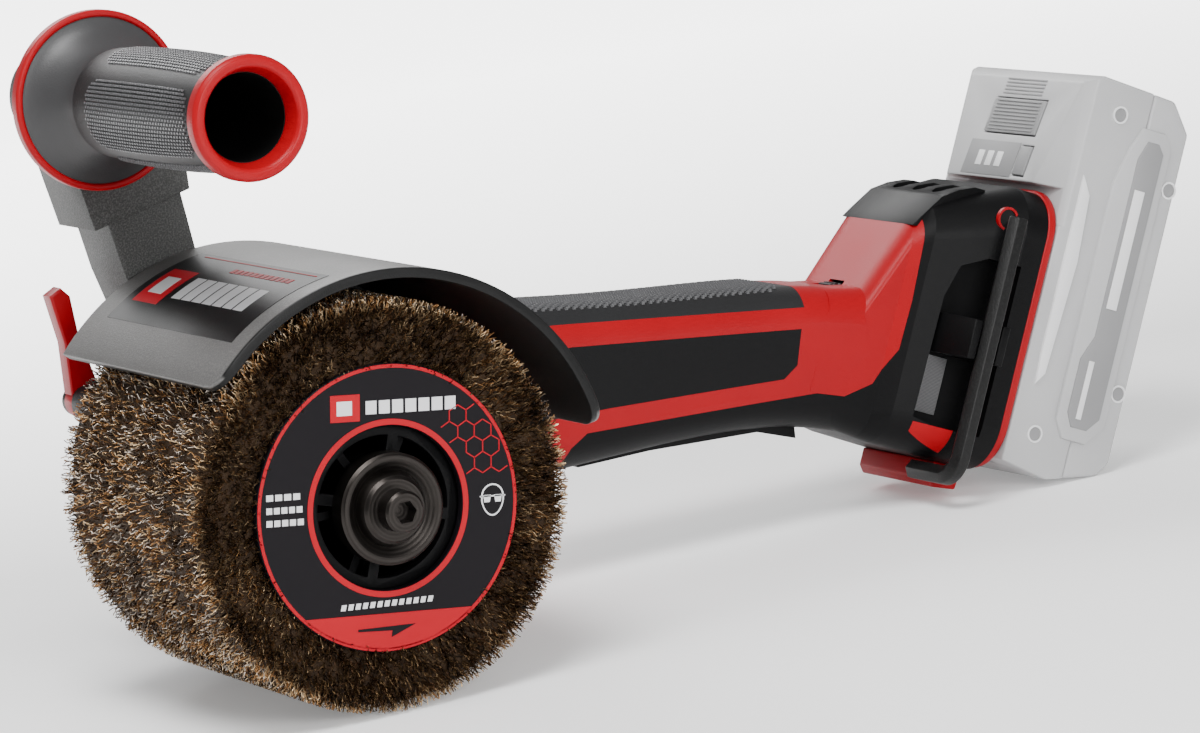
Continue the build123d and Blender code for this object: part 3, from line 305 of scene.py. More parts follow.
def from_axis(right=0.0, up=0.0):
    """The shader's distance from a line along Y, given in millimetres from the drum's axis."""
    x = along(0) - (BRUSH_AXIS.x + right * MM)
    z = along(2) - (BRUSH_AXIS.z + up * MM)
    return (x * x + z * z).root()


def wire_finish(name, dark, light):
    """Drawn wire: brass and steel colours that run together in drifts, with painted shade that darkens them
    towards the root.
    """
    material, shader = finish_of(name, metallic=0.8)
    drift = noise(60.0, 4.0)
    radius = from_axis()
    # Painted shade: below the outer few millimetres of the drum the wire turns darker towards its root.
    depth = ((radius - 0.0562) * 300.0).clamped()
    fill(
        shader,
        Base_Color=((drift - 0.5) * 2.4 + depth * 0.75).clamped().mix(dark, light),
        Roughness=drift * 0.16 + 0.2,
    )
    return material


def on_drum(kind, generator):
    """A random place on the drum's skin as radius, depth and the outward tilt there."""
    if kind == "mantle":
        return DRUM_R, generator.uniform(CORNER, DRUM_FAR - CORNER), 0.0
    tilt = generator.random() ** 0.7 * math.radians(90.0)
    inner = 41.0 if kind == "near_end" else 34.5
    if generator.random() < 0.42:
        radius = DRUM_R - CORNER * (1 - math.cos(tilt))
        depth = CORNER * (1 - math.sin(tilt))
    else:
        radius = math.sqrt(generator.uniform(inner**2, (DRUM_R - CORNER) ** 2))
        tilt = math.radians(90.0)
        depth = 0.0
    if kind == "near_end":
        return radius, depth + 0.4, -tilt
    return radius, DRUM_FAR - depth - 0.8, tilt


def wires(name, count, kind, material, seed):
    """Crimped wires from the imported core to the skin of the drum, each leaning its own way."""
    generator = random.Random(seed)
    curve = bpy.data.curves.new(name, "CURVE")
    curve.dimensions = "3D"
    curve.bevel_depth = WIRE_R * MM
    curve.bevel_resolution = 0
    for _ in range(count):
        radius, depth, tilt = on_drum(kind, generator)
        angle = generator.uniform(0, math.tau)
        radial = Vector((math.cos(angle), 0, math.sin(angle)))
        across = Vector((-radial.z, 0, radial.x))
        axial = Vector((0, 1, 0))
        outward = (radial * math.cos(tilt * 0.62) + axial * math.sin(tilt * 0.62)).normalized()
        lean = across * generator.gauss(0, 0.55) + axial * generator.gauss(0, 0.5)
        run = (outward + lean).normalized()
        side = run.cross(across + axial * generator.uniform(-1, 1)).normalized()
        length = generator.uniform(4.6, 7.4)
        tip = radial * radius + axial * depth
        start = tip - outward * (length * 0.85)
        crimp = generator.uniform(0.35, 0.7)
        phase = generator.uniform(0, math.tau)
        flat = []
        for joint in range(WIRE_JOINTS):
            share = joint / (WIRE_JOINTS - 1)
            wave = math.sin(phase + share * length * 2.3) * crimp
            point = start + run * (share * length) + side * wave
            reach = math.hypot(point.x, point.z)
            if reach > DRUM_R - WIRE_R:
                point.x *= (DRUM_R - WIRE_R) / reach
                point.z *= (DRUM_R - WIRE_R) / reach
            point.y = min(max(point.y, -1.2), DRUM_FAR + 0.2)
            spot = BRUSH_AXIS + Vector((point.x, 0, point.z)) * MM
            flat += [spot.x, FREE_FACE + point.y * MM, spot.z, 1.0]
        spline = curve.splines.new("POLY")
        spline.points.add(WIRE_JOINTS - 1)
        spline.points.foreach_set("co", flat)
    curve.materials.append(material)
    piece = bpy.data.objects.new(name, curve)
    bpy.context.collection.objects.link(piece)
    belongs(piece, "brush_bristles")


straw_wire = wire_finish("straw_wire", (0.12, 0.07, 0.03, 1), (0.95, 0.7, 0.42, 1))
bronze_wire = wire_finish("bronze_wire", (0.05, 0.022, 0.008, 1), (0.5, 0.26, 0.1, 1))
brown_wire = wire_finish("brown_wire", (0.008, 0.004, 0.002, 1), (0.1, 0.045, 0.018, 1))
steel_wire = wire_finish("steel_wire", (0.07, 0.055, 0.045, 1), (0.8, 0.7, 0.6, 1))
wires("mantle_wires_bronze", 4700, "mantle", bronze_wire, 11)
wires("mantle_wires_brown", 4700, "mantle", brown_wire, 12)
wires("mantle_wires_steel", 4300, "mantle", steel_wire, 13)
wires("mantle_wires_straw", 3000, "mantle", straw_wire, 14)
wires("end_wires_bronze", 2300, "near_end", bronze_wire, 15)
wires("end_wires_brown", 1500, "near_end", brown_wire, 16)
wires("end_wires_straw", 2900, "near_end", straw_wire, 17)
wires("far_wires_brown", 1700, "far_end", brown_wire, 18)
wires("far_wires_bronze", 1700, "far_end", bronze_wire, 19)

# ---- Printed end disc ---------------------------------------------------------------------------
# A thin plastic disc closes the free end. Its print is a red rim, a red foot with the arrow that
# shows which way the drum turns, plain blocks where the lettering was, and an eye-guard sign.
PRINT_TURN = math.radians(-7.4)
PRINT_T = 0.12


def moulded(name, colour, rough=0.42, grain=0.00006, size=2600.0, shine=0.3, metallic=0.0, speckle=0.0):
    """Moulded or painted surface: a fine even grain, slight mottling and handled patches."""
    material, shader = finish_of(name, metallic=metallic, Specular_IOR_Level=shine)
    dark = tuple(c * 0.8 for c in colour[:3]) + (1.0,)
    light = tuple(min(1.0, c * (1.0 + speckle) + speckle * 0.02) for c in colour[:3]) + (1.0,)
    patches = noise(38.0, 4.0)
    specks = noise(size, 2.0)
    body = patches.mix(dark, colour)
    if speckle:
        body = ((specks - 0.5) * 4.0 + 0.25).clamped().mix(body, light)
    fill(
        shader,
        Base_Color=body,
        Roughness=patches * 0.14 + specks * 0.1 + (rough - 0.12),
        Normal=bump(specks, grain),
    )
    return material


def painted(material, *nodes):
    """Gives some nodes their finish as they are."""
    for name in nodes:
        for index in range(len(frame["nodes"][name].material_slots)):
            frame["nodes"][name].material_slots[index].material = material
        finished.add(name)


print_black = moulded("print_black", rgb(17, 14, 18), rough=0.5, shine=0.14, grain=0.00001)
print_red = moulded("print_red", rgb(176, 12, 30), rough=0.5, shine=0.16, grain=0.00001)
print_white = moulded("print_white", rgb(228, 228, 230), rough=0.55, shine=0.3, grain=0.00001)
painted(print_black, "end_disc_outer")


def printed(name, outlines, material, lift=PRINT_T):
    """Flat prints on the end disc, from outlines to the right of and above its middle."""
    bm = bmesh.new()
    cosine, sine = math.cos(PRINT_TURN), math.sin(PRINT_TURN)
    for outline in outlines:
        corners = [
            bm.verts.new(from_brush(x * cosine - z * sine, 0.02, x * sine + z * cosine))
            for x, z in outline
        ]
        bm.faces.new(corners)
    sheet = bmesh.ops.extrude_face_region(bm, geom=bm.faces[:])
    raised = [part for part in sheet["geom"] if isinstance(part, bmesh.types.BMVert)]
    bmesh.ops.translate(bm, verts=raised, vec=(0, -(lift + 0.02) * MM, 0))
    bmesh.ops.recalc_face_normals(bm, faces=bm.faces)
    return belongs(flat_rest(bm, name, material), "end_disc_outer")


def block(left, low, right, high, slant=0.0):
    return [(left, low), (right, low), (right + slant, high), (left + slant, high)]


def arc(radius, start, stop, steps, middle=(0.0, 0.0)):
    """Points of an arc in degrees, ends included."""
    turns = [math.radians(start + (stop - start) * k / steps) for k in range(steps + 1)]
    return [(middle[0] + radius * math.cos(t), middle[1] + radius * math.sin(t)) for t in turns]


for name, inner, outer in (("rim_print", 40.2, 41.2), ("hub_print", 23.9, 25.6)):
    line = [(inner, 0.0), (outer, 0.0), (outer, -PRINT_T), (inner, -PRINT_T)]
    band = turned(name, line, BRUSH_AXIS, print_red)
    belongs(band, "end_disc_outer")
FOOT_CHORD = -30.3
chord_angle = math.degrees(math.asin(FOOT_CHORD / 40.6))
printed("foot_print", [arc(40.6, -180.0 - chord_angle, chord_angle, 40)], print_red)
arrow = [(-10.0, -34.3), (8.4, -33.8), (0.6, -37.2), (0.9, -35.3), (-10.0, -35.0)]
printed("arrow_print", [arrow], print_black, lift=0.2)
printed("badge_print", [block(-18.2, 25.4, -8.9, 33.1)], print_red)
printed("badge_window", [block(-16.2, 27.2, -11.4, 31.3)], print_white, lift=0.2)
title = [block(-7.0 + 4.2 * k, 27.2, -3.6 + 4.2 * k, 31.0) for k in range(7)]
printed("title_blocks", title, print_white)
words = [
    block(-38.4 + step * k, high - 1.8, -38.4 + step * (k + 0.76), high)
    for high, count, step in ((6.1, 4, 2.8), (2.4, 5, 2.36), (-1.2, 5, 2.44))
    for k in range(count)
]
printed("word_blocks", words, print_white)
speeds = [
    block(-15.4 + 2.3 * k, -28.6 + 0.06 * k, -13.9 + 2.3 * k, -26.9 + 0.06 * k, slant=0.4) for k in range(13)
]
printed("speed_blocks", speeds, print_white)

GOGGLES = (33.4, 0.2)


def outline_ring(outer, inner):
    """A closed line of print between two matching outlines."""
    return [
        [outer[k - 1], outer[k], inner[k], inner[k - 1]]
        for k in [*range(1, len(outer)), 0]
    ]


def egg(width, height, steps=28):
    """The outline of a head, a little wider at the top."""
    turns = [math.tau * k / steps for k in range(steps)]
    return [
        (GOGGLES[0] + width * math.cos(t) * (1 + 0.14 * math.sin(t)), GOGGLES[1] + height * math.sin(t))
        for t in turns
    ]


sign = outline_ring(egg(3.7, 4.7), egg(3.25, 4.25))
lens = [(-1.0, -0.75), (-0.2, -0.75), (0.0, 0.75), (-1.1, 0.75)]
for mirror in (-1, 1):
    pane = [(GOGGLES[0] + mirror * (x * 2.2 - 0.5) * -1, GOGGLES[1] + 0.4 + z * 1.4) for x, z in lens]
    sign.append(pane)
sign.append(block(GOGGLES[0] - 4.1, GOGGLES[1] + 0.9, GOGGLES[0] + 4.1, GOGGLES[1] + 1.3))
printed("eye_guard_sign", sign, print_white)

# Honeycomb line print: every side of every cell once, where it lies between the two red bands.
CELL = 5.35
LINE_W = 0.32
sides = set()
for row in range(6):
    for column in range(6):
        cx = 19.6 + CELL * column + CELL / 2 * (row % 2)
        cz = 11.3 + CELL * 0.866 * row
        if not (17.0 < cx < 40.0 and 8.0 < cz < 29.0) or cx + cz > 56.0 or cx + cz < 35.0:
            continue
        hexagon = arc(CELL / math.sqrt(3), 30.0, 330.0, 5, (cx, cz))
        corners = [(round(x, 1), round(z, 1)) for x, z in hexagon]
        for a, b in zip(corners, corners[1:] + corners[:1]):
            if all(26.0 < math.hypot(*p) < 40.0 for p in (a, b)):
                sides.add((min(a, b), max(a, b)))
comb = []
for (ax, az), (bx, bz) in sorted(sides):
    span = math.hypot(bx - ax, bz - az)
    nx, nz = -(bz - az) / span * LINE_W / 2, (bx - ax) / span * LINE_W / 2
    comb.append([(ax + nx, az + nz), (bx + nx, bz + nz), (bx - nx, bz - nz), (ax - nx, az - nz)])
printed("honeycomb_print", comb, print_red)

# ---- Hub, clamp flange and screw ----------------------------------------------------------------
# The slotted insert is a black moulding. The flange, screw and spindle are turned from steel and
# blackened, so fine rings from the lathe tool show under the light.
LATHE_RINGS = 5200.0
SHARP_TURN = math.radians(26.0)
SPLIT_VERTS = 0.004 * MM
FLAT_TURN = math.radians(0.5)


def softened(material, *nodes, width=0.5, segments=2):
    """Rounds the sharp edges of some nodes and shows the rounded pieces in their place.

    A node is loose triangles, so its split corners are joined and its flats made whole first.
    """
    for name in nodes:
        bm = bmesh.new()
        bm.from_mesh(frame["nodes"][name].data)
        bmesh.ops.remove_doubles(bm, verts=bm.verts, dist=SPLIT_VERTS)
        bmesh.ops.dissolve_limit(bm, angle_limit=FLAT_TURN, verts=bm.verts, edges=bm.edges)
        sharp = [e for e in bm.edges if len(e.link_faces) == 2 and e.calc_face_angle() > SHARP_TURN]
        bmesh.ops.bevel(
            bm, geom=sharp, offset=width * MM, offset_type="OFFSET", affect="EDGES",
            segments=segments, profile=0.5, material=-1, clamp_overlap=True,
        )
        piece = flat_rest(bm, f"{name}_finished", material, smooth_angle=38.0)
        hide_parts(name)
        belongs(piece, name)
        finished.add(name)


def lathed(name, colour, rough):
    """Turned metal, with tool rings about the drum's axis and worn, brighter patches."""
    material, shader = finish_of(name, metallic=1.0)
    radius = from_axis()
    cut = (radius * LATHE_RINGS).sin() * 0.5 + 0.5
    wear = noise(160.0, 4.0)
    bright = tuple(min(1.0, c * 1.8) for c in colour[:3]) + (1.0,)
    fill(
        shader,
        Base_Color=(wear * cut).mix(colour, bright),
        Roughness=wear * 0.2 + cut * 0.08 + (rough - 0.12),
        Normal=bump(cut * 0.7 + wear * 0.3, 0.00003),
    )
    return material


hub_black = moulded("hub_black", rgb(9, 9, 10), rough=0.5, shine=0.1)
black_steel = lathed("black_steel", rgb(48, 45, 43), rough=0.36)
bright_steel = lathed("bright_steel", rgb(176, 176, 178), rough=0.3)
softened(hub_black, "hub_insert", width=0.3)
painted(hub_black, "brush_hub", "end_disc_inner")
painted(black_steel, "clamp_flange", "clamp_screw", "cover_screw_1", "cover_screw_2", "cover_screw_3")
painted(black_steel, "clamp_pin", "handle_bolt")
painted(
    bright_steel, "spindle", "crown_gear", "bevel_pinion", "bearing_spindle_near", "bearing_spindle_far",
    "bearing_rotor_front", "bearing_rotor_rear", "rotor_shaft", "rotor_core", "motor_stator",
)
copper = moulded("copper_wire", rgb(184, 104, 58), rough=0.35, metallic=1.0)
painted(copper, "motor_windings")

# ---- Guard --------------------------------------------------------------------------------------
# The guard is a bent and welded sheet with a fine silver-grey powder coat. Its near edge is
# painted near-black, and the inside, away from the light, is painted black as shade. A printed
# foil lies over the front of its back.
guard_paint = moulded(
    "guard_paint", rgb(98, 97, 96), rough=0.46, grain=0.00009, size=1900.0, metallic=0.3, speckle=0.3
)
GUARD_MIDDLE = (3.5, -1.0)
GUARD_R = 69.3
Link.tree = guard_paint.node_tree
guard_shader = guard_paint.node_tree.nodes["Principled BSDF"]
outer_coat = Link(guard_shader.inputs["Base Color"].links[0].from_socket)
# Painted shade: the inside of the guard, facing the drum, is near-black; the near edge is near-black as
# well.
outside_unshaded = ((from_axis(*GUARD_MIDDLE) - (GUARD_R - 1.3) * MM) * 2500.0).clamped()
cut_edge = ((along(1) - (FREE_FACE - 1.2 * MM)) * 1500.0).clamped()
fill(guard_shader, Base_Color=(outside_unshaded * cut_edge).mix(rgb(16, 16, 16), outer_coat))
softened(guard_paint, "guard", width=0.7, segments=3)


def on_guard(angle, depth, lift):
    turn = math.radians(angle)
    radius = GUARD_R + lift
    return from_brush(
        GUARD_MIDDLE[0] + radius * math.cos(turn), depth, GUARD_MIDDLE[1] + radius * math.sin(turn)
    )


def foil(name, low, high, near, far, lift, material, steps=14):
    """A bent plate on the guard's back, between two angles and two depths."""
    bm = bmesh.new()
    bmesh.ops.create_grid(bm, x_segments=steps, y_segments=2, size=0.5)
    for vert in bm.verts:
        angle = low + (vert.co.x + 0.5) * (high - low)
        depth = near + (vert.co.y + 0.5) * (far - near)
        vert.co = on_guard(angle, depth, lift)
    bmesh.ops.solidify(bm, geom=bm.faces[:], thickness=0.1 * MM)
    bmesh.ops.recalc_face_normals(bm, faces=bm.faces)
    return belongs(flat_rest(bm, name, material, smooth_angle=30.0), "guard")


foil_black = moulded("foil_black", rgb(13, 13, 14), rough=0.38, shine=0.2, grain=0.00002)
foil_white = moulded("foil_white", rgb(196, 196, 198), rough=0.45, shine=0.4, grain=0.00001)
FOIL_LOW, FOIL_HIGH = 97.5, 127.0
FOIL_NEAR, FOIL_FAR = 8.0, 95.0
foil("guard_foil", FOIL_LOW, FOIL_HIGH, FOIL_NEAR, FOIL_FAR, 0.12, foil_black)
foil("foil_badge", 107.0, 120.5, 73.0, 90.0, 0.24, print_red)
foil("foil_badge_window", 110.5, 117.0, 77.0, 86.0, 0.34, foil_white, steps=6)
for index in range(7):
    near = 20.0 + 7.1 * index
    foil(f"foil_title_{index + 1}", 109.0, 117.5, near, near + 5.9, 0.24, foil_white, steps=6)
for index in range(12):
    near = 18.0 + 3.4 * index
    foil(f"foil_line_{index + 1}", 102.6, 104.6, near, near + 2.4, 0.24, print_red, steps=3)
foil("foil_edge_line", 99.0, 99.4, 12.0, 88.0, 0.24, print_red, steps=2)

# ---- Front handle -------------------------------------------------------------------------------
# A hollow rubber grip on a tube, between a red ring at its flange and a red ring at its end. The
# rubber is moulded with four panels of small studs, with plain strips between them.
handle_rubber = moulded("handle_rubber", rgb(30, 30, 31), rough=0.46, grain=0.00008, size=1500.0)
# Painted shade: the tube inside the hollow grip, and the disc in the screw hole, are near-black for the
# shade in these hollows.
hollow_shade_black = moulded("hollow_shade_black", rgb(14, 14, 14), rough=0.5, shine=0.2)
red_plastic = moulded("red_plastic", rgb(160, 5, 20), rough=0.36, shine=0.18)
HANDLE = from_brush(-29.2, 0.0, 117.5)


def surface_of(node):
    """A finder of places on a node's surface."""
    bm = bmesh.new()
    bm.from_mesh(frame["nodes"][node].data)
    tree = BVHTree.FromBMesh(bm)
    bm.free()
    return tree


flange_rubber = moulded(
    "flange_rubber", rgb(54, 54, 55), rough=0.42, shine=0.5, grain=0.00005, size=1800.0
)
painted(handle_rubber, "handle_sleeve")
painted(flange_rubber, "handle_core")
painted(hollow_shade_black, "handle_tube")
softened(red_plastic, "handle_flange_ring", "handle_end_ring", width=0.5, segments=3)


def stud(bm, middle, side, end, out, size, pinch):
    """One stud: a small block that stands on a surface and narrows towards its top."""
    length, width, height = size
    turn = Matrix((side, end, out)).transposed().to_4x4()
    scale = Matrix.Diagonal((length * MM, width * MM, height * MM, 1.0))
    made = bmesh.ops.create_cube(bm, size=1.0, matrix=Matrix.Translation(middle) @ turn @ scale)
    for vert in made["verts"]:
        if (vert.co - middle).dot(out) > 0:
            level = out * (vert.co - middle).dot(out)
            vert.co = middle + level + (vert.co - middle - level) * pinch


sleeve = surface_of("handle_sleeve")
bm = bmesh.new()
HANDLE_STUD = (0.85, 1.05, 0.75)
ROW_PITCH = 1.12
COLUMN_PITCH = 1.75
PANEL_HALF = 36.0
PANEL_NEAR, PANEL_FAR = 6.0, 73.0
degrees_per_row = math.degrees(ROW_PITCH / 16.6)
for panel in (181.0, 87.0, -2.0, 270.0):
    rows = int(2 * PANEL_HALF / degrees_per_row)
    for row in range(rows + 1):
        angle = math.radians(panel - PANEL_HALF + row * 2 * PANEL_HALF / rows)
        from_edge = min(row, rows - row) * ROW_PITCH
        trim = max(0.0, 4.0 - from_edge) ** 2 / 4.0
        out = Vector((math.cos(angle), 0, math.sin(angle)))
        across = Vector((-out.z, 0, out.x))
        depth = PANEL_NEAR + trim + (row % 2) * COLUMN_PITCH / 2
        while depth < PANEL_FAR - trim:
            origin = Vector((HANDLE.x, FREE_FACE + depth * MM, HANDLE.z)) + out * 30 * MM
            spot = sleeve.ray_cast(origin, -out)[0]
            if spot:
                stud(bm, spot + out * 0.1 * MM, across, Vector((0, -1, 0)), out, HANDLE_STUD, 0.7)
            depth += COLUMN_PITCH
# The studs are lighter than the rubber under them: partly wear on their tops, partly a painted sheen.
worn_and_sheen_rubber = moulded("worn_and_sheen_rubber", rgb(84, 84, 86), rough=0.36, shine=0.6, grain=0.00004)
studs = flat_rest(bm, "handle_studs", worn_and_sheen_rubber)
belongs(studs, "handle_sleeve")

# ---- Handle arm ---------------------------------------------------------------------------------
# The arm is a glass-filled nylon moulding with a coarse spark-eroded texture, bolted to the gear
# case, and a second cover of the same stuff wraps its neck.
arm_nylon = moulded("arm_nylon", rgb(62, 62, 61), rough=0.55, grain=0.00018, size=1900.0, speckle=0.7)
softened(arm_nylon, "handle_arm", "arm_cover", width=0.5)

# ---- Gear case ----------------------------------------------------------------------------------
# Black painted die castings, with the red clamp lever on its pin beside the arm.
cast_paint = moulded("cast_paint", rgb(18, 18, 19), rough=0.5, grain=0.00012, size=1400.0, shine=0.2)
softened(cast_paint, "gear_case", "gear_cover", width=0.4)
softened(red_plastic, "clamp_lever", width=0.5)

# ---- Grip ---------------------------------------------------------------------------------------
# Two red shells meet on the middle line. A rubber strip with chequered studs covers the top, soft
# panels fill the sides, and the black shells run under the fingers to the battery housing.
black_plastic = moulded("black_plastic", rgb(9, 9, 10), rough=0.44, shine=0.12)
grip_rubber = moulded("grip_rubber", rgb(30, 30, 31), rough=0.54, shine=0.3, grain=0.0001, size=1700.0)
panel_rubber = moulded("panel_rubber", rgb(14, 14, 15), rough=0.46, shine=0.14, size=2200.0)
painted(red_plastic, "body_shell_left", "body_shell_right")
painted(panel_rubber, "side_panel_left", "side_panel_right")
painted(grip_rubber, "top_grip")
strip = surface_of("top_grip")
bm = bmesh.new()
STUD_PITCH = 1.9
STRIP_STUD = (1.5, 1.35, 1.5)
STRIP_FROM, STRIP_TO = 64.0, 203.0
STRIP_HALF = 15.5
row = 0
x = STRIP_FROM
while x < STRIP_TO:
    trim = max(0.0, 5.0 - (STRIP_TO - x)) ** 2 / 5.0
    count = int((STRIP_HALF - trim) / STUD_PITCH)
    for column in range(-count, count + 1):
        across = column * STUD_PITCH + (row % 2) * STUD_PITCH / 2
        if abs(across) > STRIP_HALF:
            continue
        origin = from_brush(x, MIDDLE + across, 60.0)
        spot, normal = strip.ray_cast(origin, Vector((0, 0, -1)))[:2]
        if spot and normal.z > 0.45:
            end = Vector((1, 0, 0)) - normal * normal.x
            end.normalize()
            stud(bm, spot + normal * 0.12 * MM, end, normal.cross(end), normal, STRIP_STUD, 0.4)
    row += 1
    x += STUD_PITCH * 0.72
# The chequered studs are in the same lighter rubber: wear and a painted sheen.
belongs(flat_rest(bm, "grip_studs", worn_and_sheen_rubber), "top_grip")

# ---- Battery housing ----------------------------------------------------------------------------
# The black shells flare to the width of the battery. The cap over the electronics has three
# exhaust slots and a screw, the side recess frames a woven dust filter, and the foot is red.
SLIDE = math.radians(23.4)


def on_slide(n, y, u):
    """A place across and along the battery slide, at a depth beyond the free end of the drum."""
    cosine, sine = math.cos(SLIDE), math.sin(SLIDE)
    return from_brush(n * cosine + u * sine, y, u * cosine - n * sine)


ACROSS = Vector((math.cos(SLIDE), 0, -math.sin(SLIDE)))
UP_SLIDE = Vector((math.sin(SLIDE), 0, math.cos(SLIDE)))


def slide_n():
    """Distance across the slide in the shader, in metres from the drum axis."""
    return (along(0) - BRUSH_AXIS.x) * math.cos(SLIDE) - (along(2) - BRUSH_AXIS.z) * math.sin(SLIDE)


def slide_u():
    return (along(0) - BRUSH_AXIS.x) * math.sin(SLIDE) + (along(2) - BRUSH_AXIS.z) * math.cos(SLIDE)


painted(black_plastic, "rear_shell_right")
softened(black_plastic, "vent_cap", width=0.5)
softened(red_plastic, "housing_foot", width=0.6)
softened(red_plastic, "battery_collar", width=0.6)
softened(black_plastic, "key_clip", "paddle_switch", "lock_off", width=0.35)
painted(black_plastic, "switch_unit", "terminal_block", "cooling_fan")
painted(grip_rubber, "speed_dial")
module_metal = moulded("module_metal", rgb(120, 120, 122), rough=0.4, metallic=0.9)
painted(module_metal, "electronics_module")

two_shot, two_shot_shader = finish_of("two_shot_black", Specular_IOR_Level=0.12)
fine = noise(2600.0, 2.0)
broad = noise(38.0, 4.0)
patch = (slide_n() > 0.2295) * (slide_n() < 0.2425) * (slide_u() < 0.0665)
patch = patch * (along(1) < FREE_FACE + 0.101)
fill(
    two_shot_shader,
    Base_Color=patch.mix(rgb(9, 9, 10), rgb(160, 5, 20)),
    Roughness=broad * 0.14 + fine * 0.1 + 0.34,
    Normal=bump(fine, 0.00006),
)
painted(two_shot, "rear_shell_left")

woven, woven_shader = finish_of("woven_filter", metallic=0.6)
warp = ((slide_n() + slide_u()) * 6800.0).sin()
weft = ((slide_n() - slide_u()) * 6800.0).sin()
thread = (warp * weft * 0.5 + 0.5).math("POWER", 0.7)
fill(
    woven_shader,
    Base_Color=thread.mix((0.008, 0.008, 0.008, 1), (0.22, 0.22, 0.225, 1)),
    Roughness=noise(300.0) * 0.2 + 0.3,
    Normal=bump(thread, 0.00015),
)
painted(woven, "dust_filter_left", "dust_filter_right")


def slide_ring(name, n, u, y, inner, outer, height, material, node):
    """A raised ring on a side face of the housing or battery, standing out towards the free end."""
    bm = bmesh.new()
    start = on_slide(n, y, u)
    profile = ((inner, 0.4), (inner, -height), (outer, -height), (outer, 0.4))
    corners = [bm.verts.new(start + ACROSS * r * MM + Vector((0, d * MM, 0))) for r, d in profile]
    edges = [bm.edges.new(pair) for pair in zip(corners, corners[1:] + corners[:1])]
    bmesh.ops.spin(
        bm, geom=corners + edges, cent=start, axis=(0, 1, 0), angle=math.tau, steps=32, use_merge=True
    )
    bmesh.ops.remove_doubles(bm, verts=bm.verts, dist=SEAM)
    bmesh.ops.recalc_face_normals(bm, faces=bm.faces)
    return belongs(flat_rest(bm, name, material, smooth_angle=35.0), node)


def slide_disc(name, n, u, y, radius, height, material, node):
    bm = bmesh.new()
    turn = Matrix((ACROSS, UP_SLIDE, Vector((0, -1, 0)))).transposed().to_4x4()
    bmesh.ops.create_cone(
        bm, cap_ends=True, segments=28, depth=height * MM,
        radius1=radius * MM, radius2=radius * MM * 0.96,
        matrix=Matrix.Translation(on_slide(n, y, u)) @ turn,
    )
    return belongs(flat_rest(bm, name, material, smooth_angle=35.0), node)


side_shell = surface_of("rear_shell_left")
spot = side_shell.ray_cast(on_slide(244.3, 60.0, 137.5), Vector((0, 1, 0)))[0]
hole_y = (spot.y - FREE_FACE) / MM if spot else 94.0
slide_ring("screw_hole_rim", 243.6, 137.5, hole_y + 0.5, 3.1, 3.9, 0.9, red_plastic, "rear_shell_left")
# Painted shade: a near-black disc fills the screw hole.
slide_disc("screw_hole", 243.6, 137.5, hole_y + 0.3, 3.15, 0.6, hollow_shade_black, "rear_shell_left")

# ---- Battery ------------------------------------------------------------------------------------
# A pale grey pack in two half shells held by four screws, with raised side panels, a ribbed latch
# and a charge gauge of three lights on its front.
pack_grey = moulded("pack_grey", rgb(186, 186, 187), rough=0.42, shine=0.4)
pack_shade = moulded("pack_shade", rgb(142, 142, 143), rough=0.45, shine=0.35)
pack_light = moulded("pack_light", rgb(236, 236, 237), rough=0.4, shine=0.4)
softened(pack_grey, "battery_front", "battery_back", width=1.4, segments=3)
softened(pack_shade, "battery_latch", "gauge_button", width=0.4)
cell_wrap = moulded("cell_wrap", rgb(52, 96, 150), rough=0.35)
painted(cell_wrap, "battery_cells")
NEAR_SIDE, FAR_SIDE = 92.0, 168.0


def side_plate(name, outline, material, height, round_off):
    """The same raised plate on both sides of the battery, from an outline across and up the slide."""
    for side, facing, label in ((NEAR_SIDE, -1.0, "left"), (FAR_SIDE, 1.0, "right")):
        bm = bmesh.new()
        corners = [bm.verts.new(on_slide(n, side - facing * 0.3, u)) for n, u in outline]
        face = bm.faces.new(corners)
        grown = bmesh.ops.extrude_face_region(bm, geom=[face])["geom"]
        raised = [part for part in grown if isinstance(part, bmesh.types.BMVert)]
        bmesh.ops.translate(bm, verts=raised, vec=(0, facing * (height + 0.3) * MM, 0))
        top = [e for e in bm.edges if all(v in raised for v in e.verts)]
        bmesh.ops.bevel(
            bm, geom=top, offset=round_off * MM, offset_type="OFFSET", affect="EDGES", segments=2,
            profile=0.5, material=-1,
        )
        bmesh.ops.recalc_face_normals(bm, faces=bm.faces)
        belongs(flat_rest(bm, f"{name}_{label}", material, smooth_angle=35.0), "battery_front")


RAISED = [
    (281.0, 171.0), (284.5, 178.5), (293.5, 178.5), (297.0, 174.0), (297.0, 80.0),
    (291.0, 73.0), (281.5, 73.0), (277.5, 79.0), (277.5, 158.0),
]
side_plate("pack_panel", RAISED, pack_grey, height=1.2, round_off=0.8)
INLAY = [
    (284.5, 168.0), (287.0, 174.5), (291.5, 174.5), (294.0, 171.5), (294.0, 82.0),
    (290.0, 77.5), (283.5, 77.5), (281.0, 82.0), (281.0, 100.0), (284.5, 108.0),
]
side_plate("pack_inlay", INLAY, pack_shade, height=1.6, round_off=0.3)
TITLE_FIELD = [(286.0, 118.0), (290.0, 118.0), (290.0, 158.0), (286.0, 158.0)]
side_plate("pack_title_field", TITLE_FIELD, pack_light, height=1.9, round_off=0.1)
SMALL_FIELD = [(284.5, 80.5), (286.5, 80.5), (286.5, 100.0), (284.5, 100.0)]
side_plate("pack_small_field", SMALL_FIELD, pack_light, height=1.9, round_off=0.1)
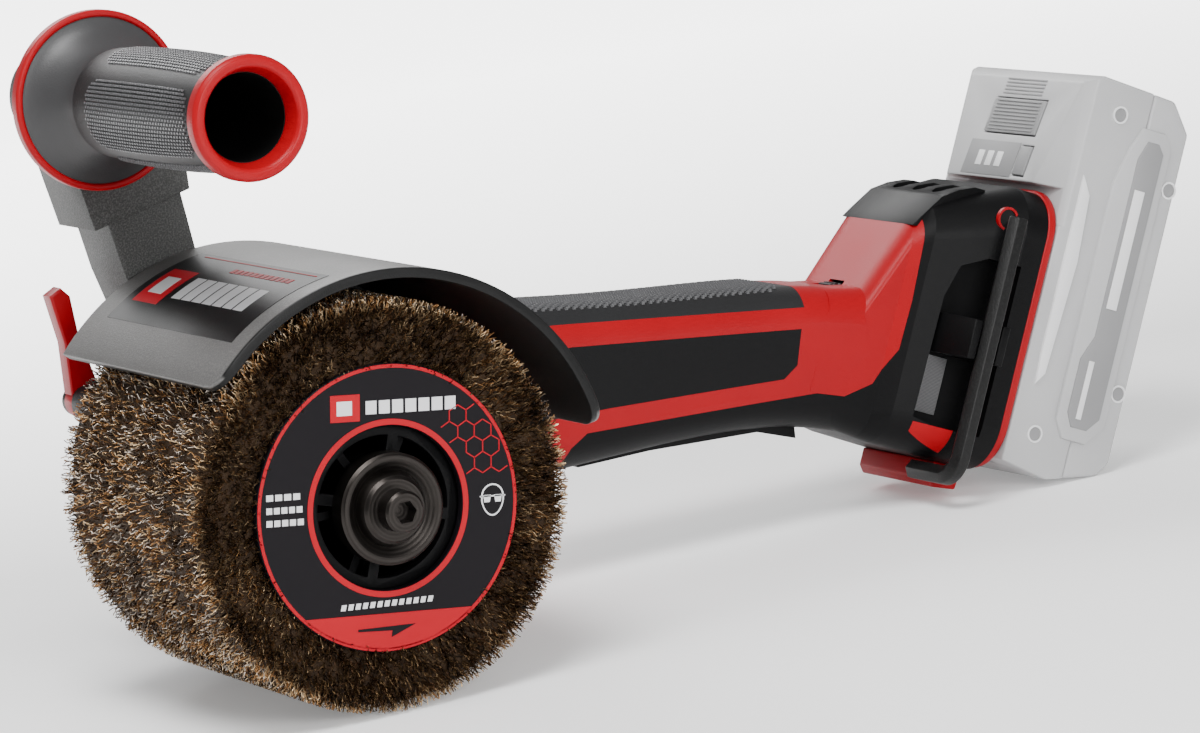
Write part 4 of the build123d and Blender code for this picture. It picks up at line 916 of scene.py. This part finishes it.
# Painted highlight: a raised near-white strip along the shoulder of each side stands for the light caught
# there.
SHOULDER_HIGHLIGHT = [
    (266.0, 158.0), (270.0, 152.0), (271.5, 130.0), (269.5, 92.0), (266.5, 88.0), (266.0, 100.0)
]
side_plate("pack_shoulder_highlight", SHOULDER_HIGHLIGHT, pack_light, height=1.0, round_off=0.6)
for index, (n, u) in enumerate(((274.5, 180.2), (300.0, 161.0), (299.5, 92.0), (271.3, 72.3)), start=1):
    slide_ring(f"pack_screw_rim_{index}", n, u, NEAR_SIDE, 2.3, 2.9, 0.5, pack_light, "battery_front")
    slide_disc(f"pack_screw_{index}", n, u, NEAR_SIDE, 2.25, 0.5, pack_shade, "battery_front")

FRONT_LOW = (255.4, 152.0)
FRONT_TILT = (260.5 - 255.4) / (187.5 - 152.0)


def front_plate(name, left, right, low, high, proud, material, node="battery_front", thick=0.8):
    """A plate on the sloping front of the battery, between two depths and two heights."""
    bm = bmesh.new()
    corners = []
    for y, u in ((left, low), (right, low), (right, high), (left, high)):
        n = FRONT_LOW[0] + (u - FRONT_LOW[1]) * FRONT_TILT
        corners.append(bm.verts.new(on_slide(n - proud, y, u)))
    face = bm.faces.new(corners)
    grown = bmesh.ops.extrude_face_region(bm, geom=[face])["geom"]
    moved = [part for part in grown if isinstance(part, bmesh.types.BMVert)]
    bmesh.ops.translate(bm, verts=moved, vec=ACROSS * thick * MM)
    bmesh.ops.bevel(
        bm, geom=bm.edges[:], offset=0.12 * MM, offset_type="OFFSET", affect="EDGES", segments=2,
        profile=0.5, material=-1,
    )
    bmesh.ops.recalc_face_normals(bm, faces=bm.faces)
    return belongs(flat_rest(bm, name, material, smooth_angle=35.0), node)


front_plate("gauge_field", 118.5, 148.0, 153.0, 165.0, 0.25, pack_shade)
for index in range(3):
    left = 126.5 + 5.6 * index
    front_plate(f"gauge_light_{index + 1}", left, left + 3.4, 156.2, 161.4, 0.45, pack_light)
for index in range(9):
    low = 168.9 + 1.25 * index
    front_plate(
        f"latch_rib_{index + 1}", 115.0, 141.0, low, low + 0.55, 0.75, pack_shade, "battery_latch", 0.7
    )
for index in range(5):
    low = 181.6 + 1.25 * index
    front_plate(f"top_rib_{index + 1}", 117.0, 140.0, low, low + 0.55, 0.35, pack_shade)

# ---- Hex key ------------------------------------------------------------------------------------
# The drum's key is a bent black-oxide bar that clips beside the filter.
key_oxide = moulded(
    "key_oxide", rgb(24, 24, 24), rough=0.42, grain=0.00008, size=1500.0, metallic=0.3, speckle=0.15
)
softened(key_oxide, "hex_key", width=0.35)

missing = sorted(set(frame["nodes"]) - finished)
if missing:
    raise RuntimeError(f"no finish was given to {missing}")
